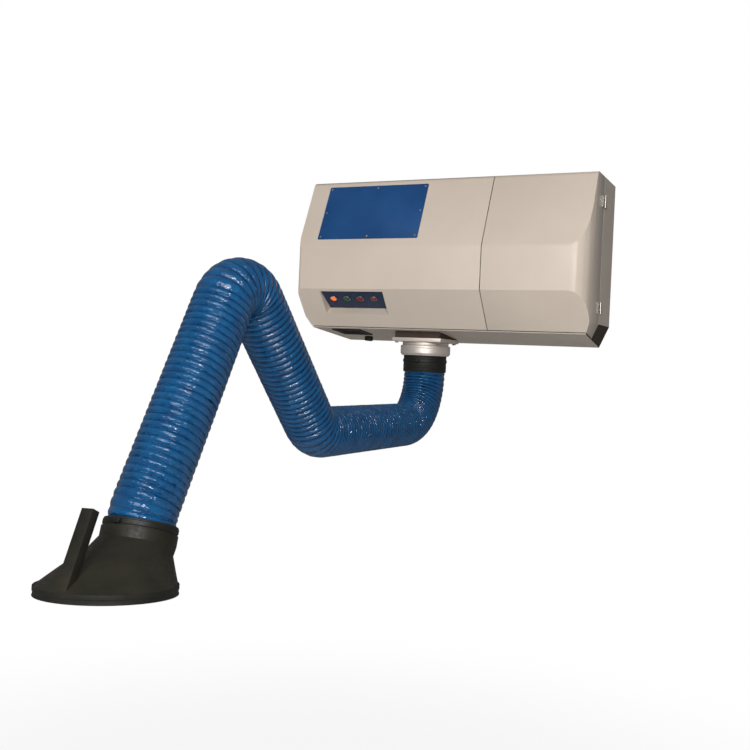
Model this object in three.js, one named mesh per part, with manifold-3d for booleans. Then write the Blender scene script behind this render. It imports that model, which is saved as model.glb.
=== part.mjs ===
// Fume extraction arm: a wall-hung air cleaner with a jointed hose arm and a hood.
// Millimetres. +Z is up, +X is to the right seen from the room, the wall is the plane y = 0
// and the room is on its -Y side. The origin is on the wall, in the middle of the hanging rail.
import * as THREE from "three";
import { mergeVertices } from "three/addons/utils/BufferGeometryUtils.js";
import Module from "manifold-3d";

const wasm = await Module();
wasm.setup();

// General sizes
const GAP = 0.3; // clearance left between pieces that touch
const OVERCUT = 5; // how far a cutter runs past the face it cuts
const FAR = 4000; // reach of a cutter that stands for half of space
const ROUND_STEPS = 28; // facets of a large round piece
const SMALL_STEPS = 16; // facets of a small round piece
const FILLET_STEPS = 4; // facets of a rounded corner
const HEXAGON = 6;

// Cabinet outline, seen from the side: depth from the wall and height over its rear bottom edge
const CABINET_LEFT = 454; // swivel axis to the left end
const CABINET_RIGHT = 672; // swivel axis to the right end
const CABINET_HEIGHT = 612;
const CABINET_DEPTH = 431;
const ROOF_DEPTH = 313; // wall to the roof's front edge
const ROOF_FILLET = 24;
const BROW_HEIGHT = 339; // foot of the sloping face
const CREASE_HEIGHT = 182; // top of the lower chamfer
const CHIN_HEIGHT = 38; // foot of the lower chamfer
const CHIN_DEPTH = 316;
const COVER_FILLET = 60; // rounded right end of the front, seen from above
const LEFT_FILLET = 20; // same at the left end
const CORNER_BEVEL_WIDTH = 35; // slanted lower corners, seen from the front
const CORNER_BEVEL_HEIGHT = 80;
const SHEET = 3; // thickness of the sheet metal
const BOX_DEPTH = 200; // wall to the joint between back box and front cover
const SEAM_X = 293; // joint between fixed cover and door
const SEAM_GAP = 3;
const FLOOR_GAP = 2.5; // covers over the rising floor, which the door swings across

// Hanging rail and spacer on the wall
const RAIL_THICKNESS = 8;
const RAIL_HEIGHT = 60;
const RAIL_MARGIN = 90; // cabinet end to rail end
const RAIL_LEVEL = 465; // middle of the rail over the cabinet's rear bottom edge
const SPACER_LEVEL = 90;

// Access panel on the sloping face
const PANEL_LEFT = -377;
const PANEL_WIDTH = 416;
const PANEL_LOW = 36; // foot of the face to the foot of the panel
const PANEL_HEIGHT = 236;
const PANEL_THICKNESS = 2.5;
const PANEL_LAP = 22; // how far the panel covers the rim of its opening

// Control tray in the lower chamfer
const TRAY_LEFT = -356;
const TRAY_WIDTH = 268;
const TRAY_LOW = 67; // foot of the chamfer to the foot of the tray
const TRAY_HEIGHT = 107;
const TRAY_DEPTH = 6; // at its upper edge
const TRAY_TILT = 18; // how much more its floor faces down than the chamfer
const TRAY_WALL = 2;
const CONTROL_PLATE = 1.5; // blue plate on the tray's floor
const CONTROL_PITCH = 57.5; // between lamps and buttons
const CONTROL_FIRST = 42; // tray end to the first lamp
const CONTROL_DROP = 47; // upper edge of the tray floor to the row of controls
const BEZEL_RADIUS = 14;
const BEZEL_HEIGHT = 4;
const STEM_RADIUS = 11; // threaded part behind the tray floor
const STEM_DEPTH = 30;
const LENS_RADIUS = 11;
const LENS_HEIGHT = 9;
const BUTTON_RADIUS = 8.5;
const BUTTON_HEIGHT = 7; // how far a button stands over its bezel
const BUTTON_STROKE = 4;

// Swivel flange under the cabinet
const SWIVEL_DEPTH = 190; // wall to the swivel axis
const PLATE_SIDE = 200;
const PLATE_THICKNESS = 15;
const WEDGE_INSET = 8; // plate edge to the wedge over it
const PLATE_TOP = 9; // over the cabinet's rear bottom edge
const AIR_BORE = 68; // radius of the air way through the swivel
const NECK_RADIUS = 90;
const NECK_HEIGHT = 12;
const RACE_RADIUS = 78; // part of the neck that the ring turns on
const RACE_HEIGHT = 24;
const LIP_RADIUS = 84.5; // lip that carries the ring
const LIP_HEIGHT = 8;
const RING_RADIUS = 97;
const RING_TAPER = 7;
const RUNNING_GAP = 0.5;

// Hose
const HOSE_RADIUS = 80; // over the ribs
const RIB_HEIGHT = 3;
const HOSE_WALL = 3; // between the ribs
const RIB_PITCH = 19;
const RIB_POINTS = 12;
const BORE_RIBS = 2; // ribs from one bore ring to the next
const SPIGOT_LENGTH = 61; // spigot inside each hose end
const SPIGOT_GAP = 0.6;

// Rubber sleeve and its band
const SLEEVE_HEIGHT = 63;
const SLEEVE_WALL = 2.6;
const BAND_HEIGHT = 12;
const BAND_THICKNESS = 2;
const BAND_DROP = 14; // sleeve top to band
const LUG_SIZE = 9; // screw block on a band

// Route of the arm: reach from the swivel axis and height over the cabinet's rear bottom edge
const SHOULDER_LEVEL = -321;
const SHOULDER_BEND = 190;
const KNEE_REACH = 885;
const KNEE_LEVEL = -318;
const KNEE_BEND = 120;
const ELBOW_REACH = 1344;
const ELBOW_LEVEL = 150;
const ELBOW_BEND = 95;
const HOOD_REACH = 1690;
const HOOD_LEVEL = -458;
const NECK_BEND = 150;
const SHOULDER_PIVOT_ANGLE = 60; // degrees round the first bend to its pivot
const BEND_TAIL = 60; // straight hose kept with each bend

// Links inside the hose
const BAR_HEIGHT = 30;
const BAR_THICKNESS = 12;
const CHEEK_THICKNESS = 6;
const CHEEK_GAP = 6; // side play of an eye between two cheeks
const EYE_RADIUS = 16;
const FORK_LENGTH = 62; // pivot to the solid part of a fork
const WEB_LENGTH = 24;
const BOLT_RADIUS = 6;
const BOLT_HEAD_RADIUS = 11;
const BOLT_HEAD_HEIGHT = 7;
const STRAP_BRIDGE_HEIGHT = 10;
const STRAP_BRIDGE_WIDTH = 34;
const STRAP_BRIDGE_DROP = 12; // ring to the bridge across the air way

// Hood, in its own frame: its joint is the origin and the neck runs up along +Z
const HOOD_TILT = 18; // degrees of the neck from upright, away from the wall
const HOOD_SIDE_TILT = -2.5; // degrees about the cross pin
const CROSS_HALF = 9;
const YOKE_ARM_WIDTH = 13;
const YOKE_ARM_THICKNESS = 5;
const YOKE_PIN_RADIUS = 4;
const YOKE_SIDE_GAP = 1; // arm to the round end of the fork
const YOKE_DROP = 42; // joint to the yoke's bar
const YOKE_BAR_HEIGHT = 8;
const NECK_RING_TOP = -22;
const NECK_RING_LENGTH = 36; // inside the hose end
const NECK_RING_LIP_RADIUS = 79;
const NECK_RING_LIP_HEIGHT = 6;
const COLLAR_TOP = -20;
const COLLAR_WALL = 4;
const COLLAR_LENGTH = 54;
const COLLAR_FLANGE_HEIGHT = 6;
const SHELL_WALL = 3;
const SHELL_LAP = 24; // shell socket over the collar
const WAIST_RADIUS_GAIN = 8; // flare just under the collar
const RIM_OFFSET = -76; // middle of the rim from the neck axis
const RIM_DROP = -180;
const RIM_CANT = 14; // degrees of the rim plane from square to the neck
const RIM_RADIUS = 150;
const RIM_BAND_HEIGHT = 20;
const RIM_BAND_WIDTH = 6;
const HANDLE_WIDTH = 31;
const HANDLE_THICKNESS = 8;
const HANDLE_LENGTH = 168;
const HANDLE_LEAN = 9; // degrees towards the neck
const HANDLE_ROOT = 14; // how far it is drawn below the shell's surface before it is trimmed
const HANDLE_FLANGE = 22;
const HANDLE_INSET = 22; // rim edge to the back of the handle, along the shell
const HANDLE_CLEARANCE = 0.6;

// Door hinges
const HINGE_OUTSET = 5; // axis outside the cabinet's end
const HINGE_LOW = 118;
const HINGE_HIGH = 500;
const HINGE_HEIGHT = 40;
const HINGE_LEAF = 28;
const HINGE_LEAF_THICKNESS = 2.5;
const KNUCKLE_RADIUS = 4.5;
const HINGE_PIN_RADIUS = 2.2;

// Inside of the cabinet
const PARTITION_X = 250;
const PARTITION_CLEARANCE = 6; // to the sheet metal in front
const FILTER_RADIUS = 145;
const FILTER_BORE = 85;
const FILTER_LENGTH = 340;
const FILTER_DEPTH = 205; // wall to the filter axis
const FILTER_LEVEL = 350;
const FILTER_CAP = 6;
const TIE_ROD_RADIUS = 6;
const TIE_KNOB_RADIUS = 22;
const TIE_KNOB_HEIGHT = 18;
const ELBOW_PIPE_RADIUS = 66;
const ELBOW_PIPE_WALL = 3;
const ELBOW_PIPE_BEND = 90;
const ELBOW_PIPE_LEVEL = 128;
const FAN_X = -300; // middle of the fan
const FAN_WIDTH = 100;
const FAN_DEPTH = 150;
const FAN_LEVEL = 330;
const FAN_GROWTH = 40; // how much the scroll widens in one turn
const FAN_RADIUS = 95; // impeller
const FAN_CLEARANCE = 12; // impeller to the narrow end of the scroll
const FAN_INLET_RADIUS = 60;
const FAN_BLADES = 8;
const BLADE_THICKNESS = 4;
const BLADE_SWEEP = 35; // degrees from radial
const HUB_RADIUS = 26;
const DISC_THICKNESS = 4;
const FAN_END_PLAY = 8; // impeller to the scroll's side walls
const OUTLET_WIDTH = 84; // scroll outlet, wall to room
const MOTOR_RADIUS = 85;
const MOTOR_LENGTH = 84;
const SHAFT_RADIUS = 12;
const CONTROL_BOX = { width: 180, depth: 120, height: 170, left: -190, low: 360, wall: 2 };
const GRILLE_SLOTS = 7;
const GRILLE_LAP = 16; // grille past its opening
const GRILLE_THICKNESS = 4;
const GRILLE_RIB = 6;
const GLAND_X = -285;
const GLAND_DEPTH = 110;
const GLAND_RADIUS = 17;
const GLAND_NUT_HEIGHT = 16;
const GLAND_BORE = 7;

// Sizes that follow from the ones above
const BACK_DEPTH = RAIL_THICKNESS + GAP;
const ARM_Y = -SWIVEL_DEPTH;
const VALLEY_RADIUS = HOSE_RADIUS - RIB_HEIGHT;
const HOSE_BORE = VALLEY_RADIUS - HOSE_WALL;
const SPIGOT_RADIUS = HOSE_BORE * Math.cos(Math.PI / RIB_POINTS) - SPIGOT_GAP;
const PLATE_BOTTOM = PLATE_TOP - PLATE_THICKNESS;
const NECK_BOTTOM = PLATE_BOTTOM - GAP - NECK_HEIGHT;
const RACE_BOTTOM = NECK_BOTTOM - RACE_HEIGHT;
const LIP_BOTTOM = RACE_BOTTOM - LIP_HEIGHT;
const RING_BOTTOM = LIP_BOTTOM - RUNNING_GAP - RING_TAPER;
const HOSE_TOP = RING_BOTTOM - GAP;
const HALF_BAR = BAR_THICKNESS / 2;
const CHEEK_INNER = HALF_BAR + CHEEK_GAP;
const CHEEK_OUTER = CHEEK_INNER + CHEEK_THICKNESS;
const PLATE_HALF = PLATE_SIDE / 2;
const OVER_HOSE = (HOSE_RADIUS + GAP) / Math.cos(Math.PI / ROUND_STEPS); // bore that takes the hose
const FLOOR_SLANT = Math.atan2(CHIN_HEIGHT, CHIN_DEPTH);

// Finishes
function finish(color, roughness, metalness) {
  return new THREE.MeshStandardMaterial({ color, roughness, metalness });
}
const PAINT = finish(0xcbbfb2, 0.45, 0.1);
const BLUE_PAINT = finish(0x2c5c98, 0.4, 0.1);
const STEEL = finish(0x9a9a98, 0.4, 0.9);
const ALUMINIUM = finish(0xb9b9b6, 0.35, 0.9);
const BLACK_PLASTIC = finish(0x1c1c1a, 0.55, 0);
const RUBBER = finish(0x151515, 0.7, 0);
const HOSE_BLUE = finish(0x1d5a9e, 0.3, 0);
const RED_LENS = finish(0xf0431c, 0.25, 0);
const DARK_RED_LENS = finish(0x7a1c16, 0.25, 0);
const GREEN_PLASTIC = finish(0x1f9a54, 0.3, 0);
const RED_PLASTIC = finish(0xb8251c, 0.3, 0);
const FILTER_PAPER = finish(0xd9d4c4, 0.9, 0);
const ZINC = finish(0xa8adb0, 0.5, 0.8);

// Solids: joining, cutting and placing

/** Closed solid of a geometry, for joining and cutting. */
function solid(geometry) {
  const bare = geometry.clone();
  for (const name of Object.keys(bare.attributes)) {
    if (name !== "position") {
      bare.deleteAttribute(name);
    }
  }
  const merged = mergeVertices(bare, 1e-4);
  return new wasm.Manifold(
    new wasm.Mesh({
      numProp: 3,
      vertProperties: new Float32Array(merged.attributes.position.array),
      triVerts: new Uint32Array(merged.index.array),
    }),
  );
}

/** Geometry of a solid. */
function geometryOf(body) {
  const mesh = body.getMesh();
  const geometry = new THREE.BufferGeometry();
  geometry.setAttribute("position", new THREE.BufferAttribute(mesh.vertProperties, 3));
  geometry.setIndex(new THREE.BufferAttribute(mesh.triVerts, 1));
  geometry.computeVertexNormals();
  return geometry;
}

/** Named piece with its own finish. */
function piece(name, shape, material) {
  const geometry = shape.isBufferGeometry ? shape : geometryOf(shape);
  const mesh = new THREE.Mesh(geometry, material.clone());
  mesh.name = name;
  return mesh;
}

function joined(first, ...others) {
  return others.reduce((sum, other) => sum.add(other), first);
}

function cut(first, ...others) {
  return others.reduce((rest, other) => rest.subtract(other), first);
}

/** Block between two corners. */
function block(x0, x1, y0, y1, z0, z1) {
  const geometry = new THREE.BoxGeometry(x1 - x0, y1 - y0, z1 - z0);
  geometry.translate((x0 + x1) / 2, (y0 + y1) / 2, (z0 + z1) / 2);
  return solid(geometry);
}

function shapeOf(points) {
  return new THREE.Shape(points.map(([u, v]) => new THREE.Vector2(u, v)));
}

/** Prism along X with its outline in (y, z). */
function prismX(points, x0, x1) {
  const geometry = new THREE.ExtrudeGeometry(shapeOf(points), { depth: x1 - x0, bevelEnabled: false });
  const turn = new THREE.Matrix4().makeBasis(
    new THREE.Vector3(0, 1, 0),
    new THREE.Vector3(0, 0, 1),
    new THREE.Vector3(1, 0, 0),
  );
  geometry.applyMatrix4(turn);
  geometry.translate(x0, 0, 0);
  return solid(geometry);
}

/** Prism along Y with its outline in (x, z). */
function prismY(points, y0, y1) {
  const geometry = new THREE.ExtrudeGeometry(shapeOf(points), { depth: y1 - y0, bevelEnabled: false });
  geometry.rotateX(Math.PI / 2);
  geometry.translate(0, y1, 0);
  return solid(geometry);
}

/** Prism along Z with its outline in (x, y). */
function prismZ(points, z0, z1) {
  const geometry = new THREE.ExtrudeGeometry(shapeOf(points), { depth: z1 - z0, bevelEnabled: false });
  geometry.translate(0, 0, z0);
  return solid(geometry);
}

/** Round bar along Z. */
function barZ(radius, z0, z1, steps = ROUND_STEPS) {
  const geometry = new THREE.CylinderGeometry(radius, radius, z1 - z0, steps);
  geometry.rotateX(Math.PI / 2);
  geometry.translate(0, 0, (z0 + z1) / 2);
  return geometry;
}

/** Round bar along X through (y, z). */
function barX(radius, x0, x1, y, z, steps = SMALL_STEPS) {
  const geometry = new THREE.CylinderGeometry(radius, radius, x1 - x0, steps);
  geometry.rotateZ(-Math.PI / 2);
  geometry.translate((x0 + x1) / 2, y, z);
  return solid(geometry);
}

/** Ring or bushing turned about Z from a closed outline of (radius, z). */
function turned(points, steps = ROUND_STEPS) {
  const loop = [...points, points[0]].map(([r, z]) => new THREE.Vector2(r, z));
  const geometry = new THREE.LatheGeometry(loop, steps);
  geometry.rotateX(Math.PI / 2);
  const body = solid(geometry);
  if (body.volume() > 0) {
    return body;
  }
  const back = new THREE.LatheGeometry(loop.reverse(), steps);
  back.rotateX(Math.PI / 2);
  return solid(back);
}

function tube(outer, inner, z0, z1, steps = ROUND_STEPS) {
  return turned([[inner, z0], [outer, z0], [outer, z1], [inner, z1]], steps);
}

function moved(body, x, y, z) {
  return solid(geometryOf(body).translate(x, y, z));
}

/** Closed solid from rings of equal point counts, the last ring joined to the first. */
function ringSolid(rings) {
  const count = rings[0].length;
  const positions = [];
  const index = [];
  for (const ring of rings) {
    for (const point of ring) {
      positions.push(point.x, point.y, point.z);
    }
  }
  for (let i = 0; i < rings.length; i++) {
    const next = (i + 1) % rings.length;
    for (let k = 0; k < count; k++) {
      const turn = (k + 1) % count;
      const [a, b] = [i * count + k, i * count + turn];
      const [c, d] = [next * count + k, next * count + turn];
      index.push(a, b, c, b, d, c);
    }
  }
  if (signedVolume(positions, index) < 0) {
    index.reverse();
  }
  const geometry = new THREE.BufferGeometry();
  geometry.setAttribute("position", new THREE.Float32BufferAttribute(positions, 3));
  geometry.setIndex(index);
  geometry.computeVertexNormals();
  return geometry;
}

/** Volume of a closed mesh, negative where its faces point inwards. */
function signedVolume(positions, index) {
  const corner = (i) => new THREE.Vector3().fromArray(positions, 3 * index[i]);
  let sum = 0;
  for (let i = 0; i < index.length; i += 3) {
    sum += corner(i).dot(corner(i + 1).cross(corner(i + 2))) / 6;
  }
  return sum;
}

function radians(degrees) {
  return THREE.MathUtils.degToRad(degrees);
}

/** Convex outline, counter-clockwise, with every side moved inwards. */
function inset(points, distance) {
  const count = points.length;
  const lines = points.map(([x0, y0], i) => {
    const [x1, y1] = points[(i + 1) % count];
    const length = Math.hypot(x1 - x0, y1 - y0);
    const normal = [-(y1 - y0) / length, (x1 - x0) / length];
    return { normal, reach: normal[0] * x0 + normal[1] * y0 + distance };
  });
  return lines.map((line, i) => {
    const before = lines[(i + count - 1) % count];
    const scale = before.normal[0] * line.normal[1] - before.normal[1] * line.normal[0];
    return [
      (before.reach * line.normal[1] - line.reach * before.normal[1]) / scale,
      (line.reach * before.normal[0] - before.reach * line.normal[0]) / scale,
    ];
  });
}

/** Points of a rounded corner between two neighbours of an outline. */
function fillet(before, corner, after, radius) {
  const [b, c, a] = [before, corner, after].map(([x, y]) => new THREE.Vector2(x, y));
  const inwards = b.clone().sub(c).normalize();
  const outwards = a.clone().sub(c).normalize();
  const half = Math.acos(inwards.dot(outwards)) / 2;
  const centre = inwards.clone().add(outwards).normalize().multiplyScalar(radius / Math.sin(half)).add(c);
  const start = inwards.multiplyScalar(radius / Math.tan(half)).add(c).sub(centre);
  const end = outwards.multiplyScalar(radius / Math.tan(half)).add(c).sub(centre);
  const sweep = Math.atan2(start.cross(end), start.dot(end));
  const points = [];
  for (let i = 0; i <= FILLET_STEPS; i++) {
    const point = start.clone().rotateAround(new THREE.Vector2(), (sweep * i) / FILLET_STEPS).add(centre);
    points.push([point.x, point.y]);
  }
  return points;
}

// Cabinet shell

function floorLevel(depth) {
  return (CHIN_HEIGHT * depth) / CHIN_DEPTH;
}

/** Level of the floor's upper side. */
function floorTop(depth) {
  return floorLevel(depth) + SHEET / Math.cos(FLOOR_SLANT);
}

/** Side outline in (y, z), counter-clockwise seen from +X. */
function sideOutline() {
  const roofFront = [-ROOF_DEPTH, CABINET_HEIGHT];
  const brow = [-CABINET_DEPTH, BROW_HEIGHT];
  const roofBack = [-BACK_DEPTH, CABINET_HEIGHT];
  return [
    [-BACK_DEPTH, floorLevel(BACK_DEPTH)],
    roofBack,
    ...fillet(roofBack, roofFront, brow, ROOF_FILLET),
    brow,
    [-CABINET_DEPTH, CREASE_HEIGHT],
    [-CHIN_DEPTH, CHIN_HEIGHT],
  ];
}

/** Outline from above in (x, y), counter-clockwise. */
function planOutline() {
  const frontLeft = [-CABINET_LEFT, -CABINET_DEPTH];
  const frontRight = [CABINET_RIGHT, -CABINET_DEPTH];
  const backLeft = [-CABINET_LEFT, -BACK_DEPTH];
  const backRight = [CABINET_RIGHT, -BACK_DEPTH];
  return [
    backRight,
    backLeft,
    ...fillet(backLeft, frontLeft, frontRight, LEFT_FILLET),
    ...fillet(frontLeft, frontRight, backRight, COVER_FILLET),
  ];
}

/** Outline from the front in (x, z), counter-clockwise. */
function frontOutline() {
  return [
    [-CABINET_LEFT + CORNER_BEVEL_WIDTH, 0],
    [CABINET_RIGHT - CORNER_BEVEL_WIDTH, 0],
    [CABINET_RIGHT, CORNER_BEVEL_HEIGHT],
    [CABINET_RIGHT, CABINET_HEIGHT],
    [-CABINET_LEFT, CABINET_HEIGHT],
    [-CABINET_LEFT, CORNER_BEVEL_HEIGHT],
  ];
}

/** Whole cabinet as a solid whose faces are moved inwards by a distance. */
function cabinetSolid(distance) {
  const side = prismX(inset(sideOutline(), distance), -FAR, FAR);
  const plan = prismZ(inset(planOutline(), distance), -FAR, FAR);
  const front = prismY(inset(frontOutline(), distance), -FAR, FAR);
  return side.intersect(plan).intersect(front);
}

/** Space of the back box and its floor, grown at the upright joint and over the floor. */
function boxRegion(jointGap, floorGap) {
  const joint = BOX_DEPTH + jointGap;
  return prismX(
    [
      [OVERCUT, -FAR],
      [OVERCUT, FAR],
      [-joint, FAR],
      [-joint, floorTop(joint) + floorGap],
      [-FAR, floorTop(FAR) + floorGap],
      [-FAR, -FAR],
    ],
    -FAR,
    FAR,
  );
}

/** Group whose X and Y run along a sloping face and whose Z points out of it. */
function faceGroup(lowDepth, lowLevel, highDepth, highLevel) {
  const group = new THREE.Group();
  group.position.set(0, -lowDepth, lowLevel);
  group.rotation.x = Math.atan2(highLevel - lowLevel, lowDepth - highDepth);
  group.updateMatrixWorld(true);
  return group;
}

const slopeFace = faceGroup(CABINET_DEPTH, BROW_HEIGHT, ROOF_DEPTH, CABINET_HEIGHT);
const chamferFace = faceGroup(CHIN_DEPTH, CHIN_HEIGHT, CABINET_DEPTH, CREASE_HEIGHT);

/** Solid drawn on a sloping face, placed in the cabinet. */
function onFace(face, body) {
  return solid(geometryOf(body).applyMatrix4(face.matrixWorld));
}

const cabinetShell = cabinetSolid(0).subtract(cabinetSolid(SHEET));
const coverShell = cabinetShell.subtract(boxRegion(GAP, FLOOR_GAP));

const outlet = {
  left: FAN_X - FAN_WIDTH / 2 + SHEET,
  right: FAN_X + FAN_WIDTH / 2 - SHEET,
  near: FAN_DEPTH + FAN_RADIUS + FAN_CLEARANCE + FAN_GROWTH / 2 - OUTLET_WIDTH,
};
outlet.far = outlet.near + OUTLET_WIDTH;

function backBox() {
  const airWay = moved(solid(barZ(RACE_RADIUS - OVERCUT, -FAR, CABINET_HEIGHT / 4)), 0, ARM_Y, 0);
  const outletHole = block(outlet.left, outlet.right, -outlet.far, -outlet.near, -FAR, CABINET_HEIGHT / 4);
  const glandHole = moved(
    solid(barZ(GLAND_RADIUS - OVERCUT + GAP, -FAR, CABINET_HEIGHT / 4, SMALL_STEPS)),
    GLAND_X,
    -GLAND_DEPTH,
    0,
  );
  const body = cut(cabinetShell.intersect(boxRegion(0, 0)), airWay, outletHole, glandHole);
  return piece("back_box", body, PAINT);
}

function frontCover() {
  const leftHalf = block(-FAR, SEAM_X - SEAM_GAP / 2, -FAR, FAR, -FAR, FAR);
  const panelHole = block(
    PANEL_LEFT + PANEL_LAP,
    PANEL_LEFT + PANEL_WIDTH - PANEL_LAP,
    PANEL_LOW + PANEL_LAP,
    PANEL_LOW + PANEL_HEIGHT - PANEL_LAP,
    -SHEET - OVERCUT,
    OVERCUT,
  );
  const trayHole = block(
    TRAY_LEFT,
    TRAY_LEFT + TRAY_WIDTH,
    TRAY_LOW,
    TRAY_LOW + TRAY_HEIGHT,
    -SHEET - OVERCUT,
    OVERCUT,
  );
  const body = cut(
    coverShell.intersect(leftHalf),
    onFace(slopeFace, panelHole),
    onFace(chamferFace, trayHole),
  );
  return piece("front_cover", body, PAINT);
}

function filterDoor() {
  const rightHalf = block(SEAM_X + SEAM_GAP / 2, FAR, -FAR, FAR, -FAR, FAR);
  return piece("filter_door", coverShell.intersect(rightHalf), PAINT);
}

function wallBar(name, level) {
  const bar = block(
    -CABINET_LEFT + RAIL_MARGIN,
    CABINET_RIGHT - RAIL_MARGIN,
    -RAIL_THICKNESS,
    0,
    level - RAIL_HEIGHT / 2,
    level + RAIL_HEIGHT / 2,
  );
  return piece(name, bar, STEEL);
}

function accessPanel() {
  const plate = block(
    PANEL_LEFT,
    PANEL_LEFT + PANEL_WIDTH,
    PANEL_LOW,
    PANEL_LOW + PANEL_HEIGHT,
    GAP,
    GAP + PANEL_THICKNESS,
  );
  return piece("access_panel", plate, BLUE_PAINT);
}

// Controls

function controlX(place) {
  return TRAY_LEFT + CONTROL_FIRST + place * CONTROL_PITCH;
}

const TRAY_TOP = TRAY_LOW + TRAY_HEIGHT;
const PLATE_FACE = GAP + CONTROL_PLATE; // what the bezels sit on, over the tray floor
const CONTROL_COUNT = 4;
const tilt = radians(TRAY_TILT);

// Tray floor: its upper edge is the X axis, Y runs up along it and Z points out of it
const trayFloor = new THREE.Group();
trayFloor.position.set(0, TRAY_TOP, -TRAY_DEPTH);
trayFloor.rotation.x = tilt;
trayFloor.updateMatrix();
chamferFace.add(trayFloor);

/** Wedge under the chamfer from its lower to its upper edge, as deep as the tray floor and a wall. */
function trayWedge(edge, wall, x0, x1, top) {
  const [low, high] = [TRAY_LOW + edge, TRAY_TOP - edge];
  const depthAt = (y) => TRAY_DEPTH + (TRAY_TOP - y) * Math.tan(tilt) + wall / Math.cos(tilt);
  return prismX(
    [
      [low, top],
      [low, -depthAt(low)],
      [high, -depthAt(high)],
      [high, top],
    ],
    x0,
    x1,
  );
}

function controlTray() {
  const [x0, x1] = [TRAY_LEFT + GAP, TRAY_LEFT + TRAY_WIDTH - GAP];
  const outer = trayWedge(GAP, TRAY_WALL, x0, x1, 0);
  const inner = trayWedge(GAP + TRAY_WALL, 0, x0 + TRAY_WALL, x1 - TRAY_WALL, OVERCUT);
  const holes = solid(geometryOf(controlHoles()).applyMatrix4(trayFloor.matrix));
  return piece("control_tray", cut(outer, inner, holes), PAINT);
}

/** Holes of all lamps and buttons, drawn on the tray floor. */
function controlHoles() {
  const holes = [];
  for (let place = 0; place < CONTROL_COUNT; place++) {
    const hole = solid(barZ(STEM_RADIUS + GAP, -TRAY_WALL - OVERCUT, OVERCUT, SMALL_STEPS));
    holes.push(moved(hole, controlX(place), -CONTROL_DROP, 0));
  }
  return joined(...holes);
}

function controlPlate() {
  const rim = TRAY_WALL + 2 * GAP;
  const plate = block(
    TRAY_LEFT + rim,
    TRAY_LEFT + TRAY_WIDTH - rim,
    -(TRAY_HEIGHT - rim) / Math.cos(tilt) + PLATE_FACE * Math.tan(tilt),
    -rim / Math.cos(tilt),
    GAP,
    PLATE_FACE,
  );
  return piece("control_plate", plate.subtract(controlHoles()), BLUE_PAINT);
}

function lamp(name, place, material) {
  const bezelFoot = PLATE_FACE + GAP;
  const body = turned(
    [
      [0, bezelFoot - STEM_DEPTH],
      [STEM_RADIUS, bezelFoot - STEM_DEPTH],
      [STEM_RADIUS, bezelFoot],
      [BEZEL_RADIUS, bezelFoot],
      [BEZEL_RADIUS, bezelFoot + BEZEL_HEIGHT],
      [LENS_RADIUS, bezelFoot + BEZEL_HEIGHT],
      [LENS_RADIUS, bezelFoot + LENS_HEIGHT],
      [0, bezelFoot + LENS_HEIGHT],
    ],
    SMALL_STEPS,
  );
  const mesh = piece(name, body, material);
  mesh.position.set(controlX(place), -CONTROL_DROP, 0);
  return mesh;
}

function buttonHousing(name, place) {
  const bezelFoot = PLATE_FACE + GAP;
  const bore = BUTTON_RADIUS + RUNNING_GAP;
  const body = turned(
    [
      [bore, bezelFoot - STEM_DEPTH],
      [STEM_RADIUS, bezelFoot - STEM_DEPTH],
      [STEM_RADIUS, bezelFoot],
      [BEZEL_RADIUS, bezelFoot],
      [BEZEL_RADIUS, bezelFoot + BEZEL_HEIGHT],
      [bore, bezelFoot + BEZEL_HEIGHT],
    ],
    SMALL_STEPS,
  );
  const mesh = piece(name, body, STEEL);
  mesh.position.set(controlX(place), -CONTROL_DROP, 0);
  return mesh;
}

function button(name, place, material) {
  const top = PLATE_FACE + GAP + BEZEL_HEIGHT + BUTTON_HEIGHT;
  const foot = PLATE_FACE + GAP - STEM_DEPTH + BUTTON_STROKE;
  const mesh = piece(name, barZ(BUTTON_RADIUS, foot, top, SMALL_STEPS), material);
  mesh.position.set(controlX(place), -CONTROL_DROP, 0);
  return mesh;
}

// Door hinges on the right end

const HINGE_X = CABINET_RIGHT + HINGE_OUTSET;
const HINGE_Y = -BOX_DEPTH;

/** One half of a hinge: side +1 lies on the box, side -1 on the door. */
function hingeLeaf(name, low, side) {
  const half = HINGE_HEIGHT / 2;
  const x0 = CABINET_RIGHT + GAP;
  const plateStart = HINGE_Y + side * (KNUCKLE_RADIUS + RUNNING_GAP);
  const plateEnd = HINGE_Y + side * HINGE_LEAF;
  const [y0, y1] = [Math.min(plateStart, plateEnd), Math.max(plateStart, plateEnd)];
  const plate = block(x0, x0 + HINGE_LEAF_THICKNESS, y0, y1, low, low + HINGE_HEIGHT);
  const knuckleLow = side > 0 ? low : low + half + RUNNING_GAP;
  const knuckleHigh = side > 0 ? low + half : low + HINGE_HEIGHT;
  const knuckle = moved(
    solid(barZ(KNUCKLE_RADIUS, knuckleLow, knuckleHigh, SMALL_STEPS)),
    HINGE_X,
    HINGE_Y,
    0,
  );
  const [tongue0, tongue1] = [Math.min(HINGE_Y, plateEnd), Math.max(HINGE_Y, plateEnd)];
  const tongue = block(x0, x0 + HINGE_LEAF_THICKNESS, tongue0, tongue1, knuckleLow, knuckleHigh);
  const pin = (radius) =>
    moved(solid(barZ(radius, low, low + HINGE_HEIGHT + OVERCUT, SMALL_STEPS)), HINGE_X, HINGE_Y, 0);
  const leaf = joined(plate, tongue, knuckle);
  const body = side > 0
    ? leaf.add(pin(HINGE_PIN_RADIUS))
    : leaf.subtract(pin(HINGE_PIN_RADIUS + RUNNING_GAP));
  return piece(name, body, ZINC);
}

// Swivel flange

function atSwivel(mesh) {
  mesh.position.set(0, ARM_Y, 0);
  return mesh;
}

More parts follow.
